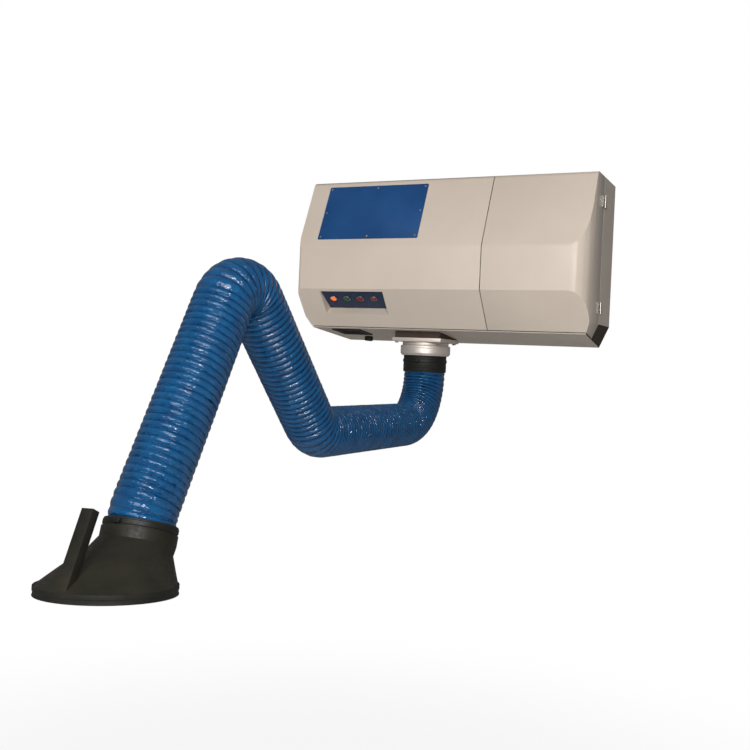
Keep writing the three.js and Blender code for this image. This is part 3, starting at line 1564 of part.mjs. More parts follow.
function hoodGroup() {
  const cross = hoodCross();
  cross.position.copy(hoodJoint);
  cross.rotation.x = -radians(HOOD_TILT);
  hoodFrame.add(hoodYoke(), neckRing(), hoodCollar(), hoodClamp(), hoodShell(), hoodRim(), hoodHandle());
  return [cross, hoodFrame];
}

const fumeArm = new THREE.Group();
fumeArm.add(cabinetGroup(), ...controlsOnFaces(), armGroup(), ...hoodGroup());
fumeArm.position.z = -RAIL_LEVEL;

export default fumeArm;
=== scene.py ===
"""Looks of a wall-hung fume cleaner with its hose arm and hood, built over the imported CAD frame.

Metres in the CAD row frame: +Z up, the wall is y = 0, the room is on the -Y side. Outlines that are written
in millimetres say so.
"""

import logging
import math
from dataclasses import dataclass, field
from enum import Enum
from typing import Iterable, Sequence

import bmesh
import bpy
import numpy as np
from mathutils import Matrix, Vector


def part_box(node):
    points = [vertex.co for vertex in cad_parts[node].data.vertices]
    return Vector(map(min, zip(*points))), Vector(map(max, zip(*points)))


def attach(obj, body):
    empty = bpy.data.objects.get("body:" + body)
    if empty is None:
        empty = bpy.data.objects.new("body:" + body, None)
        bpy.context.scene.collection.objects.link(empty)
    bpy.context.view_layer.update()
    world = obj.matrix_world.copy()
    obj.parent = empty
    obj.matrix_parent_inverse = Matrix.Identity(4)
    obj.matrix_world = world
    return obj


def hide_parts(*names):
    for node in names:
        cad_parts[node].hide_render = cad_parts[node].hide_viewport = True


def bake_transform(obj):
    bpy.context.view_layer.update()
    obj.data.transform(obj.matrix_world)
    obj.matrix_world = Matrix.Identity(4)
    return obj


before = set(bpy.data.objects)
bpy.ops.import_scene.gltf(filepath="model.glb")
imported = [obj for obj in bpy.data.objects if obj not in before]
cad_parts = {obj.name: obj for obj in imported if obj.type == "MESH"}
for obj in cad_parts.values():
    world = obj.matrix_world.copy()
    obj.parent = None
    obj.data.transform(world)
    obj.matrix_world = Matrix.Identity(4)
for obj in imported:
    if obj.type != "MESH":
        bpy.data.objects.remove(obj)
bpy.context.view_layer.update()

logging.basicConfig(level=logging.INFO, format="%(message)s")
log = logging.getLogger("fume_arm")

Colour = tuple[float, float, float, float]
Outline = Sequence[tuple[float, float]]
Mesh = bpy.types.Mesh
Socket = bpy.types.NodeSocket

MM = 0.001
RAIL_LEVEL = 465 * MM  # row origin over the cabinet's rear bottom edge
SWIVEL_DEPTH = 190 * MM  # wall to the swivel axis
ROUND_FACETS = 96
ON_AXIS = 0.01 * MM  # radius of an outline's end on its own axis
WELD = 0.001 * MM  # distance at which points are joined
CAD_WELD = 0.002 * MM
CORNER_SHARE = 0.45  # most of a side that a rounded corner takes up
SHARP = 40.0  # degrees from which an edge stays sharp
SHARP_SHEET = 32.0
SHARP_SCREW = 35.0

# Edges of sheet metal by their fold in degrees: least fold, greatest fold and steps of the rounding
SHALLOW_FOLD = (18, 30, 5)
FOLD = (30, 70, 4)
CUT_EDGE = (70, 130, 2)
FLAT = 0.8  # degrees up to which faces count as one
NARROW = 0.05  # share of the greatest face up to which a face counts as part of a rounding


def srgb(red: int, green: int, blue: int) -> Colour:
    """Linear opaque colour of a display colour.

    Args:
        red, green, blue: display values from 0 to 255.

    Returns:
        The colour as Blender's shaders take it.
    """
    shares = np.array([red, green, blue]) / 255
    linear = np.where(shares <= 0.04045, shares / 12.92, ((shares + 0.055) / 1.055) ** 2.4)
    return (*map(float, linear), 1.0)


# Nodes


class Nodes:
    """Adds linked nodes to a node tree."""

    def __init__(self, tree: bpy.types.NodeTree) -> None:
        """Keeps the tree that the nodes go into."""
        self.tree = tree

    def feed(self, target: Socket, source: object) -> None:
        """Links an input to another node's output, or sets its value.

        Args:
            target: the input.
            source: socket or value.
        """
        if isinstance(source, Socket):
            self.tree.links.new(source, target)
        else:
            target.default_value = source

    def add(self, kind: str, links: dict | None = None, **settings: object) -> bpy.types.Node:
        """Adds a node.

        Args:
            kind: the node's type.
            links: sockets or values for its inputs, by name or number.
            settings: the node's properties.

        Returns:
            The new node.
        """
        node = self.tree.nodes.new(kind)
        for key, setting in settings.items():
            setattr(node, key, setting)
        for key, source in (links or {}).items():
            self.feed(node.inputs[key], source)
        return node

    def out(self, output: str | int, kind: str, links: dict | None = None, **settings: object) -> Socket:
        """One output of a new node, which is added as by add."""
        return self.add(kind, links, **settings).outputs[output]

    def math(self, operation: str, first: object, second: object = 0.0) -> Socket:
        """Result of an operation on two values."""
        return self.out(0, "ShaderNodeMath", {0: first, 1: second}, operation=operation)


class Palette(Nodes):
    """Shading nodes of one new material."""

    def __init__(self, name: str) -> None:
        """Makes the material and its principled shader.

        Args:
            name: the material's name.
        """
        self.material = bpy.data.materials.new(name)
        self.material.use_nodes = True
        super().__init__(self.material.node_tree)
        self.shader = self.tree.nodes["Principled BSDF"]
        self.place = self.out("Object", "ShaderNodeTexCoord")

    def shade(self, values: dict[str, object]) -> None:
        """Feeds inputs of the shader, by name."""
        for name, value in values.items():
            self.feed(self.shader.inputs[name], value)

    def noise(self, scale: float, detail: float = 2.0, stretch: Sequence[float] = (1, 1, 1)) -> Socket:
        """Cloudy pattern on the piece's own coordinates.

        Args:
            scale: blotches per metre.
            detail: octaves of finer pattern.
            stretch: scale along each axis.

        Returns:
            The pattern's value, about 0 to 1.
        """
        spot = self.out("Vector", "ShaderNodeMapping", {"Vector": self.place, "Scale": stretch})
        links = {"Vector": spot, "Scale": scale, "Detail": detail}
        return self.out("Fac", "ShaderNodeTexNoise", links)

    def cells(self, scale: float) -> Socket:
        """Creased pattern: distance to the nearest wall of cells, of which scale go to the metre."""
        links = {"Vector": self.place, "Scale": scale}
        return self.out("Distance", "ShaderNodeTexVoronoi", links, feature="DISTANCE_TO_EDGE")

    def spread(
        self, value: Socket, low: float, high: float, start: float = 0.3, end: float = 0.7, **settings: str
    ) -> Socket:
        """Pattern value mapped to a range.

        Args:
            value: pattern to map.
            low, high: results at the two ends.
            start, end: pattern values of the two ends.
            settings: properties of the mapping node.

        Returns:
            The mapped value.
        """
        links = {"Value": value, "From Min": start, "From Max": end, "To Min": low, "To Max": high}
        return self.out("Result", "ShaderNodeMapRange", links, **settings)

    def mix(self, share: Socket, first: Colour | Socket, second: Colour | Socket) -> Socket:
        """Two colours mixed by a pattern.

        Args:
            share: pattern, 0 for the first colour.
            first, second: the colours.

        Returns:
            The mixed colour.
        """
        node = self.add("ShaderNodeMix", {"Factor": share}, data_type="RGBA")
        ends = [socket for socket in node.inputs if socket.type == "RGBA"]
        for end, colour in zip(ends, (first, second)):
            self.feed(end, colour)
        return next(socket for socket in node.outputs if socket.type == "RGBA")

    def kept(self, name: str) -> Socket:
        """Value kept on the mesh under a name."""
        return self.out("Fac", "ShaderNodeAttribute", attribute_name=name)

    def relief(self, heights: Iterable[tuple[Socket, float, float]]) -> None:
        """Stacks bump layers on the shader's normal.

        Args:
            heights: pattern, strength and depth in metres of each layer.
        """
        below: dict[str, Socket] = {}
        for value, strength, depth in heights:
            links = {"Height": value, "Strength": strength, "Distance": depth, **below}
            below = {"Normal": self.out("Normal", "ShaderNodeBump", links)}
        self.shade(below)


class Tree(Nodes):
    """Geometry Nodes tree with named inputs, one of them the finish."""

    def __init__(self, name: str, **inputs: str) -> None:
        """Makes the tree with its inputs and its one output.

        Args:
            name: the tree's name.
            inputs: kind of each named input.
        """
        super().__init__(bpy.data.node_groups.new(name, "GeometryNodeTree"))
        face = self.tree.interface
        for label, kind in {"Geometry": "Geometry", **inputs, "Finish": "Material"}.items():
            face.new_socket(label, in_out="INPUT", socket_type="NodeSocket" + kind)
        face.new_socket("Geometry", in_out="OUTPUT", socket_type="NodeSocketGeometry")
        self.source = self.add("NodeGroupInput")

    def value(self, label: str) -> Socket:
        """Socket of a named input."""
        return self.source.outputs[label]

    def store(self, geometry: Socket, **values: Socket) -> Socket:
        """Keeps values on the points of a geometry.

        Args:
            geometry: the geometry.
            values: the values by their names.

        Returns:
            The geometry with the values.
        """
        for name, value in values.items():
            links = {"Geometry": geometry, "Name": name}
            node = self.add("GeometryNodeStoreNamedAttribute", links, data_type="FLOAT", domain="POINT")
            target = next(socket for socket in node.inputs if socket.name == "Value" and socket.enabled)
            self.feed(target, value)
            geometry = node.outputs["Geometry"]
        return geometry

    def kept(self, name: str) -> Socket:
        """Socket of a kept value."""
        node = self.add("GeometryNodeInputNamedAttribute", {"Name": name}, data_type="FLOAT")
        return next(socket for socket in node.outputs if socket.name == "Attribute" and socket.enabled)

    def finish(self, geometry: Socket) -> None:
        """Ends the tree with real geometry and its material.

        Args:
            geometry: what the tree has made.
        """
        real = self.out("Geometry", "GeometryNodeRealizeInstances", {"Geometry": geometry})
        links = {"Geometry": real, "Material": self.value("Finish")}
        dressed = self.out("Geometry", "GeometryNodeSetMaterial", links)
        self.add("NodeGroupOutput", {"Geometry": dressed})

    def grow(self, seed: Mesh, look: "Look", **values: object) -> Mesh:
        """Runs the tree on a seed mesh.

        Args:
            seed: mesh that the tree starts from.
            look: the finish.
            values: the tree's other inputs by name.

        Returns:
            Plain mesh of the result.
        """
        thing = bpy.data.objects.new("seed", seed)
        bpy.context.scene.collection.objects.link(thing)
        modifier = thing.modifiers.new("grow", "NODES")
        modifier.node_group = self.tree
        keys = {
            item.name: item.identifier
            for item in self.tree.interface.items_tree
            if item.item_type == "SOCKET" and item.in_out == "INPUT"
        }
        for label, setting in {**values, "Finish": look.material()}.items():
            modifier[keys[label]] = setting
        bpy.context.view_layer.update()
        evaluated = thing.evaluated_get(bpy.context.evaluated_depsgraph_get())
        mesh = bpy.data.meshes.new_from_object(evaluated)
        bpy.data.objects.remove(thing)
        return mesh


# Finishes


@dataclass(frozen=True)
class Finish:
    """Opaque finish with mottled colour, uneven gloss and fine relief."""

    name: str
    colour: Colour
    worn: Colour
    roughness: float
    metallic: float = 0.0
    coat: float = 0.0
    shine: float = 0.3
    gloss_spread: float = 0.08
    mottle_scale: float = 6.0
    smear_ratio: float = 9.0  # smears to one blotch of the mottle
    mottle: float = 0.35
    grain_scale: float = 700.0
    grain: float = 0.12
    grain_depth: float = 0.4 * MM
    stretch: tuple[float, float, float] = (1.0, 1.0, 1.0)

    def material(self) -> bpy.types.Material:
        """Shading nodes of the finish.

        Returns:
            A new material.
        """
        paint = Palette(self.name)
        share = paint.spread(paint.noise(self.mottle_scale, 5.0), 0.0, self.mottle)
        smears = paint.noise(self.smear_ratio * self.mottle_scale, 3.0, self.stretch)
        low, high = self.roughness - self.gloss_spread, self.roughness + self.gloss_spread
        paint.shade({
            "Metallic": self.metallic,
            "Coat Weight": self.coat,
            "Specular IOR Level": self.shine,
            "Base Color": paint.mix(share, self.colour, self.worn),
            "Roughness": paint.spread(smears, low, high),
        })
        paint.relief([(paint.noise(self.grain_scale, 2.0, self.stretch), self.grain, self.grain_depth)])
        return paint.material


@dataclass(frozen=True)
class HoseFilm:
    """Shiny coated film, creased all over, with painted shade in the grooves between its ribs."""

    name: str
    colour: Colour
    pale: Colour
    # Colour of the painted shade in the rib grooves.
    groove_shade_colour: Colour
    shine: float = 0.5
    roughness: tuple[float, float] = (0.03, 0.21)
    smear_scale: float = 90.0
    patch_scale: float = 24.0
    patch_ends: tuple[float, float] = (0.35, 0.85)
    groove_shade: float = 0.3
    groove_ends: tuple[float, float] = (0.4, 0.95)
    crease_scale: float = 120.0
    crease: float = 0.8
    crease_depth: float = 2.0 * MM
    pucker_scale: float = 260.0
    pucker: float = 0.15
    pucker_depth: float = 1.0 * MM
    streak_count: float = 150.0
    streak_reach: float = 5.4
    streak_depth: float = 3.0 * MM
    rib_depth: float = 4.0 * MM

    def material(self) -> bpy.types.Material:
        """Shading nodes of the film.

        Returns:
            A new material.
        """
        film = Palette(self.name)
        groove = film.kept("rib_groove")
        patches = film.spread(film.noise(self.patch_scale, 5.0), 0.0, 1.0, *self.patch_ends)
        patchy = film.mix(patches, self.colour, self.pale)
        # Painted shade: the colour darkens towards the groove shade colour in the rib grooves, where shade
        # falls.
        painted_groove_shade = film.spread(groove, 0.0, self.groove_shade, *self.groove_ends)
        film.shade({
            "Specular IOR Level": self.shine,
            "Base Color": film.mix(painted_groove_shade, patchy, self.groove_shade_colour),
            "Roughness": film.spread(film.noise(self.smear_scale, 3.0), *self.roughness),
        })
        film.relief([
            (film.noise(self.crease_scale, 2.0), self.crease, self.crease_depth),
            (film.cells(self.pucker_scale), self.pucker, self.pucker_depth),
            (film.spread(groove, 1.0, 0.0, 0.0, 1.0), 1.0, self.rib_depth),
            (self.streaks(film), 1.0, self.streak_depth),
        ])
        return film.material

    def streaks(self, film: Palette) -> Socket:
        """Fine creases that run round the hose.

        Args:
            film: the material's nodes.

        Returns:
            The crease pattern.
        """
        reaches = {
            "rib_distance": self.streak_count,
            "rib_across": self.streak_reach,
            "rib_up": self.streak_reach,
        }
        parts = [film.math("MULTIPLY", film.kept(name), reach) for name, reach in reaches.items()]
        lie = film.out(0, "ShaderNodeCombineXYZ", dict(enumerate(parts)))
        return film.out("Fac", "ShaderNodeTexNoise", {"Vector": lie, "Scale": 1.0, "Detail": 2.0})


@dataclass(frozen=True)
class LampLens:
    """Coloured lamp lens that may be lit, with a pattern of small facets."""

    name: str
    colour: Colour
    glow: float
    coat: float = 0.6
    roughness: tuple[float, float] = (0.18, 0.34)
    smear_scale: float = 400.0
    facet_scale: float = 420.0
    facet: float = 0.25
    facet_depth: float = 0.6 * MM

    def material(self) -> bpy.types.Material:
        """Shading nodes of the lens.

        Returns:
            A new material.
        """
        lens = Palette(self.name)
        lens.shade({
            "Base Color": self.colour,
            "Emission Color": self.colour,
            "Emission Strength": self.glow,
            "Coat Weight": self.coat,
            "Roughness": lens.spread(lens.noise(self.smear_scale), *self.roughness),
        })
        lens.relief([(lens.cells(self.facet_scale), self.facet, self.facet_depth)])
        return lens.material


class Look(Enum):
    """Finishes of the fume cleaner."""

    CABINET = Finish(
        "cream_enamel", srgb(222, 208, 193), srgb(212, 197, 181), 0.36,
        shine=0.35, gloss_spread=0.03, mottle_scale=3.0, mottle=0.8, grain_scale=1400.0, grain=0.1,
    )
    BLUE = Finish(
        "blue_enamel", srgb(36, 82, 136), srgb(28, 68, 118), 0.45,
        shine=0.15, mottle_scale=7.0, mottle=0.7, grain_scale=1500.0, grain=0.1,
    )
    SLATE = Finish(
        "slate_plate", srgb(44, 60, 90), srgb(34, 46, 70), 0.45,
        mottle_scale=9.0, mottle=0.6, grain_scale=1300.0, grain=0.1,
    )
    INSIDE = Finish(
        "inside_enamel", srgb(168, 162, 152), srgb(140, 134, 124), 0.55,
        mottle_scale=5.0, mottle=0.6, grain_scale=900.0,
    )
    STEEL = Finish(
        "plain_steel", srgb(150, 150, 148), srgb(112, 110, 108), 0.42,
        metallic=1.0, mottle_scale=14.0, grain_scale=500.0, grain=0.2, stretch=(1.0, 0.08, 1.0),
    )
    ZINC = Finish(
        "zinc_plate", srgb(178, 174, 166), srgb(142, 138, 130), 0.4,
        metallic=1.0, mottle_scale=30.0, mottle=0.7, grain_scale=260.0, grain=0.08,
    )
    ALUMINIUM = Finish(
        "turned_aluminium", srgb(234, 223, 214), srgb(190, 181, 173), 0.5,
        metallic=0.75, mottle_scale=11.0, grain_scale=900.0, grain=0.12, stretch=(0.05, 0.05, 1.0),
    )
    HOOD = Finish(
        "hood_plastic", srgb(31, 30, 24), srgb(54, 51, 41), 0.5, shine=0.2,
        mottle_scale=9.0, mottle=0.55, grain_scale=850.0, grain=0.28, gloss_spread=0.12,
    )
    RUBBER = Finish(
        "matt_rubber", srgb(25, 25, 22), srgb(44, 43, 38), 0.6, shine=0.25,
        mottle_scale=18.0, mottle=0.5, grain_scale=1100.0, grain=0.3,
    )
    # Painted shade: dark brown for the shadowed gap above the flange plate and the shaded lower corner of the
    # box.
    PAINTED_SHADE = Finish(
        "painted_shade_brown", srgb(74, 64, 54), srgb(58, 50, 42), 0.7,
        shine=0.15, mottle_scale=16.0, mottle=0.6, grain_scale=900.0, grain=0.3,
    )
    DARK = Finish(
        "dark_plastic", srgb(22, 22, 20), srgb(36, 35, 32), 0.5,
        mottle_scale=20.0, mottle=0.4, grain_scale=1200.0, grain=0.2,
    )
    FILTER = Finish(
        "pleated_paper", srgb(222, 216, 200), srgb(180, 170, 150), 0.92,
        mottle_scale=12.0, mottle=0.7, grain_scale=1600.0, grain=0.5,
    )
    GREEN = Finish(
        "green_cap", srgb(22, 92, 56), srgb(18, 74, 46), 0.3,
        coat=0.3, mottle_scale=60.0, grain_scale=1500.0, grain=0.05,
    )
    RED = Finish(
        "red_cap", srgb(142, 32, 26), srgb(112, 26, 22), 0.3,
        coat=0.3, mottle_scale=60.0, grain_scale=1500.0, grain=0.05,
    )
    # The hose's last colour is the painted shade of its rib grooves.
    HOSE = HoseFilm("hose_film", srgb(7, 69, 115), srgb(15, 89, 139), srgb(4, 34, 68))
    LIT = LampLens("glowing_lens", srgb(250, 84, 36), 1.6)
    UNLIT = LampLens("resting_lens", srgb(126, 34, 28), 0.08)

    def material(self) -> bpy.types.Material:
        """The finish's shared material, made once."""
        return bpy.data.materials.get(self.value.name) or self.value.material()


# Meshes and pieces


def smooth(mesh: Mesh, crease: float = SHARP) -> Mesh:
    """Shades a mesh smooth, sharp only at strong edges.

    Args:
        mesh: the mesh.
        crease: degrees from which an edge stays sharp.

    Returns:
        The same mesh.
    """
    mesh.shade_smooth()
    mesh.set_sharp_from_angle(angle=math.radians(crease))
    return mesh


def mesh_of(work: bmesh.types.BMesh) -> Mesh:
    """Mesh of a working mesh, without the edge and normal data that CAD nodes carry.

    Args:
        work: the working mesh, which is freed.

    Returns:
        The new mesh.
    """
    mesh = bpy.data.meshes.new("piece")
    work.to_mesh(mesh)
    work.free()
    for kept in ("custom_normal", "sharp_edge"):
        if kept in mesh.attributes:
            mesh.attributes.remove(mesh.attributes[kept])
    return mesh


def mesh_from(points: np.ndarray, faces: Iterable[Sequence[int]], crease: float = SHARP) -> Mesh:
    """Smooth mesh from points and faces.

    Args:
        points: rows of x, y, z.
        faces: corner numbers of each face.
        crease: degrees from which an edge stays sharp.

    Returns:
        The new mesh, its faces pointing outwards.
    """
    mesh = bpy.data.meshes.new("piece")
    mesh.from_pydata([tuple(map(float, point)) for point in points], [], [tuple(face) for face in faces])
    work = bmesh.new()
    work.from_mesh(mesh)
    bmesh.ops.remove_doubles(work, verts=work.verts, dist=WELD)
    bmesh.ops.recalc_face_normals(work, faces=work.faces)
    work.to_mesh(mesh)
    work.free()
    return smooth(mesh, crease)


def metres(outline: Outline) -> Outline:
    """Outline in metres of one in millimetres."""
    return [(radius * MM, height * MM) for radius, height in outline]


def rounded(points: Outline, radius: float, steps: int = 3) -> Outline:
    """Closed outline with every corner rounded.

    Args:
        points: corners of the outline.
        radius: wanted corner radius, less where a side is short.
        steps: steps of each corner.

    Returns:
        The rounded outline.
    """
    result = []
    count = len(points)
    for i in range(count):
        before, corner, after = (Vector(points[(i + k) % count]) for k in (-1, 0, 1))
        back, on = before - corner, after - corner
        run = min(radius, CORNER_SHARE * back.length, CORNER_SHARE * on.length)
        start = corner + back.normalized() * run
        end = corner + on.normalized() * run
        for k in range(steps + 1):
            t = k / steps
            spot = start * (1 - t) ** 2 + corner * 2 * t * (1 - t) + end * t * t
            result.append((spot.x, spot.y))
    return result


def ring_mesh(rings: Sequence[np.ndarray], crease: float = SHARP) -> Mesh:
    """Mesh through rings of equal point counts, the last joined to the first.

    Args:
        rings: point rings, in order.
        crease: degrees from which an edge stays sharp.

    Returns:
        The new mesh.
    """
    count = len(rings[0])
    faces = []
    for i in range(len(rings)):
        a, b = i * count, ((i + 1) % len(rings)) * count
        for k in range(count):
            turn = (k + 1) % count
            faces.append((a + k, a + turn, b + turn, b + k))
    return mesh_from(np.concatenate(rings), faces, crease)


def turned(outline: Outline, place: Matrix, facets: int = ROUND_FACETS, crease: float = SHARP) -> Mesh:
    """Ring turned about Z from a closed outline of radius and height.

    Args:
        outline: closed outline, in metres.
        place: where the turned piece goes in the row frame.
        facets: sides of the circle.
        crease: degrees from which an edge stays sharp.

    Returns:
        The new mesh.
    """
    angles = np.linspace(0, 2 * math.pi, facets, endpoint=False)
    rings = [
        np.stack([r * np.cos(angles), r * np.sin(angles), np.full(facets, z)], axis=1)
        for r, z in outline
    ]
    mesh = ring_mesh(rings, crease)
    mesh.transform(place)
    return mesh


def solid_block(low: Sequence[float], high: Sequence[float], place: Matrix, edge: float) -> Mesh:
    """Block with rounded edges.

    Args:
        low, high: corners in the local frame.
        place: local frame in the row frame.
        edge: width of the edge rounding.

    Returns:
        The new mesh.
    """
    work = bmesh.new()
    size = Vector(high) - Vector(low)
    middle = (Vector(high) + Vector(low)) / 2
    bmesh.ops.create_cube(work, size=1.0, matrix=Matrix.Translation(middle) @ Matrix.Diagonal((*size, 1)))
    bmesh.ops.bevel(
        work, geom=work.edges[:], offset=edge, segments=3, profile=0.5, affect="EDGES", clamp_overlap=True
    )
    mesh = mesh_of(work)
    mesh.transform(place)
    return smooth(mesh)


def joined(meshes: Sequence[Mesh]) -> Mesh:
    """One mesh of several.

    Args:
        meshes: meshes to join; they are removed.

    Returns:
        The joined mesh.
    """
    work = bmesh.new()
    for mesh in meshes:
        work.from_mesh(mesh)
        bpy.data.meshes.remove(mesh)
    return smooth(mesh_of(work))


def cad_copy(node: str) -> bmesh.types.BMesh:
    """Working copy of a CAD node's mesh, its triangles joined at their corners.

    Args:
        node: the CAD node.

    Returns:
        The working mesh.
    """
    work = bmesh.new()
    work.from_mesh(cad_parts[node].data)
    bmesh.ops.remove_doubles(work, verts=work.verts, dist=CAD_WELD)
    return work


def softened(node: str, bend: float, rim: float) -> Mesh:
    """Copy of a CAD node with rounded bends and broken edges.

    Args:
        node: the CAD node.
        bend: rounding of blunt edges, where sheet metal is folded.
        rim: rounding of square edges.

    Returns:
        The new mesh.
    """
    work = cad_copy(node)
    bmesh.ops.dissolve_limit(work, angle_limit=math.radians(FLAT), verts=work.verts[:], edges=work.edges[:])
    for width, (low, high, steps) in ((2 * bend, SHALLOW_FOLD), (bend, FOLD), (rim, CUT_EDGE)):
        edges = [
            edge
            for edge in work.edges
            if edge.is_manifold and low < math.degrees(edge.calc_face_angle(0)) < high
        ]
        if edges:
            bmesh.ops.bevel(
                work, geom=edges, offset=width, segments=steps, profile=0.5,
                affect="EDGES", clamp_overlap=True,
            )
    biggest = max(face.calc_area() for face in work.faces)
    for face in work.faces:
        face.smooth = face.calc_area() < NARROW * biggest
    mesh = mesh_of(work)
    mesh.set_sharp_from_angle(angle=math.radians(SHARP_SHEET))
    return mesh


def piece_of(name: str, mesh: Mesh, look: Look) -> bpy.types.Object:
    """Object of a mesh, at the origin.

    Args:
        name: the piece's name.
        mesh: mesh in the row frame.
        look: its finish.

    Returns:
        The new object.
    """
    mesh.name = name
    mesh.materials.clear()
    mesh.materials.append(look.material())
    thing = bpy.data.objects.new(name, mesh)
    bpy.context.scene.collection.objects.link(thing)
    return thing


def add_piece(name: str, mesh: Mesh, look: Look, body: str, slot: str, *nodes: str) -> None:
    """Adds a piece that rides on a body in place of CAD nodes.

    Args:
        name: the piece's name.
        mesh: its mesh.
        look: its finish.
        body: CAD body that it rides on.
        slot: not used.
        nodes: CAD nodes that it replaces.
    """
    thing = piece_of(name, mesh, look)
    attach(thing, body)
    if nodes:
        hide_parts(*nodes)
    log.info("piece %s on %s", name, body)


def dress(look: Look, *nodes: str) -> None:
    """Gives CAD nodes a finish.

    Args:
        look: the finish.
        nodes: the CAD nodes.
    """
    for node in nodes:
        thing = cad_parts[node]
        if not thing.material_slots:
            thing.data.materials.append(look.material())
        for place in thing.material_slots:
            place.material = look.material()
        log.info("node %s: %s", node, look.value.name)


class Screw(Enum):
    """Kinds of screw: sides of the head, share of it that is domed, its radius and its height."""

    PANEL = (20, 0.55, 3.6 * MM, 1.6 * MM)
    HINGE = (20, 0.55, 2.6 * MM, 1.2 * MM)
    FLANGE = (6, 0.12, 6.5 * MM, 5 * MM)


@dataclass
class ScrewSet:
    """Rows of equal zinc-plated screw heads; shares are of the head's radius or height."""

    washer_reach: float = 1.3
    washer_height: float = 0.3
    washer_sides: int = 24
    dome_reach: float = 0.96
    dome_segments: int = 20
    dome_rings: int = 10
    full_turn: float = 6.28
    spin_seed: int = 7
    tree: Tree = field(init=False)

    def __post_init__(self) -> None:
        """Builds the tree: a washer, a head and a dome on every seed point."""
        tree = Tree("screw_heads", Radius="Float", Height="Float", Sides="Int", Dome="Float", Normal="Vector")
        radius, height = tree.value("Radius"), tree.value("Height")

        def times(value: Socket, share: object) -> Socket:
            """Product of two values."""
            return tree.math("MULTIPLY", value, share)

        rim, thickness = times(radius, self.washer_reach), times(height, self.washer_height)
        links = {"Vertices": self.washer_sides, "Radius": rim, "Depth": thickness}
        washer = tree.out("Mesh", "GeometryNodeMeshCylinder", links)
        links = {"Vertices": tree.value("Sides"), "Radius": radius, "Depth": height}
        head = tree.out("Mesh", "GeometryNodeMeshCylinder", links)
        links = {"Segments": self.dome_segments, "Rings": self.dome_rings, "Radius": 1.0}
        dome = tree.out("Mesh", "GeometryNodeMeshUVSphere", links)
        reach, swell = times(radius, self.dome_reach), times(radius, tree.value("Dome"))
        flattened = tree.out(0, "ShaderNodeCombineXYZ", {0: reach, 1: reach, 2: swell})
        whole = tree.add("GeometryNodeJoinGeometry")
        as_made = (1.0, 1.0, 1.0)
        for shape, lift, scale in (
            (washer, times(thickness, 0.5), as_made),
            (head, times(height, 0.5), as_made),
            (dome, height, flattened),
        ):
            up = tree.out(0, "ShaderNodeCombineXYZ", {2: lift})
            links = {"Geometry": shape, "Translation": up, "Scale": scale}
            tree.feed(whole.inputs[0], tree.out("Geometry", "GeometryNodeTransform", links))
        links = {"Vector": tree.value("Normal")}
        turn = tree.out("Rotation", "FunctionNodeAlignRotationToVector", links, axis="Z")
        links = {"Min": 0.0, "Max": self.full_turn, "Seed": self.spin_seed}
        spin = tree.out(1, "FunctionNodeRandomValue", links, data_type="FLOAT")
        own = tree.out("Rotation", "FunctionNodeAxisAngleToRotation", {"Axis": (0, 0, 1), "Angle": spin})
        links = {"Rotation": turn, "Rotate By": own}
        both = tree.out("Rotation", "FunctionNodeRotateRotation", links, rotation_space="LOCAL")
        spots = tree.out("Points", "GeometryNodeMeshToPoints", {"Mesh": tree.value("Geometry")})
        links = {"Points": spots, "Instance": whole.outputs["Geometry"], "Rotation": both}
        tree.finish(tree.out("Instances", "GeometryNodeInstanceOnPoints", links))
        self.tree = tree

    def place(self, name: str, spots: Sequence[Vector], normal: Vector, kind: Screw, body: str) -> None:
        """Puts screw heads at points.

        Args:
            name: the piece's name.
            spots: points that the heads sit on.
            normal: direction that the heads face.
            kind: which screw.
            body: CAD body that they ride on.
        """
        seed = bpy.data.meshes.new(name + "_spots")
        seed.from_pydata([tuple(spot) for spot in spots], [], [])
        sides, dome, radius, height = kind.value
        sizes = {"Radius": radius, "Height": height, "Sides": sides, "Dome": dome}
        mesh = self.tree.grow(seed, Look.ZINC, **sizes, Normal=tuple(normal))
        add_piece(name, smooth(mesh, SHARP_SCREW), Look.ZINC, body, "zinc")


# Sub-assemblies


@dataclass(frozen=True)
class FaceFrame:
    """Sloping face of the cabinet: its lower and upper edge as depth and level."""

    low_depth: float
    low_level: float
    high_depth: float
    high_level: float

    def matrix(self) -> Matrix:
        """Frame on the face: Y up along it, Z out of it.

        Returns:
            The frame in the row frame.
        """
        rise = Vector((0, self.low_depth - self.high_depth, self.high_level - self.low_level)).normalized()
        side = Vector((1, 0, 0))
        turn = Matrix((side, rise, side.cross(rise))).transposed().to_4x4()
        return Matrix.Translation((0, -self.low_depth, self.low_level - RAIL_LEVEL)) @ turn


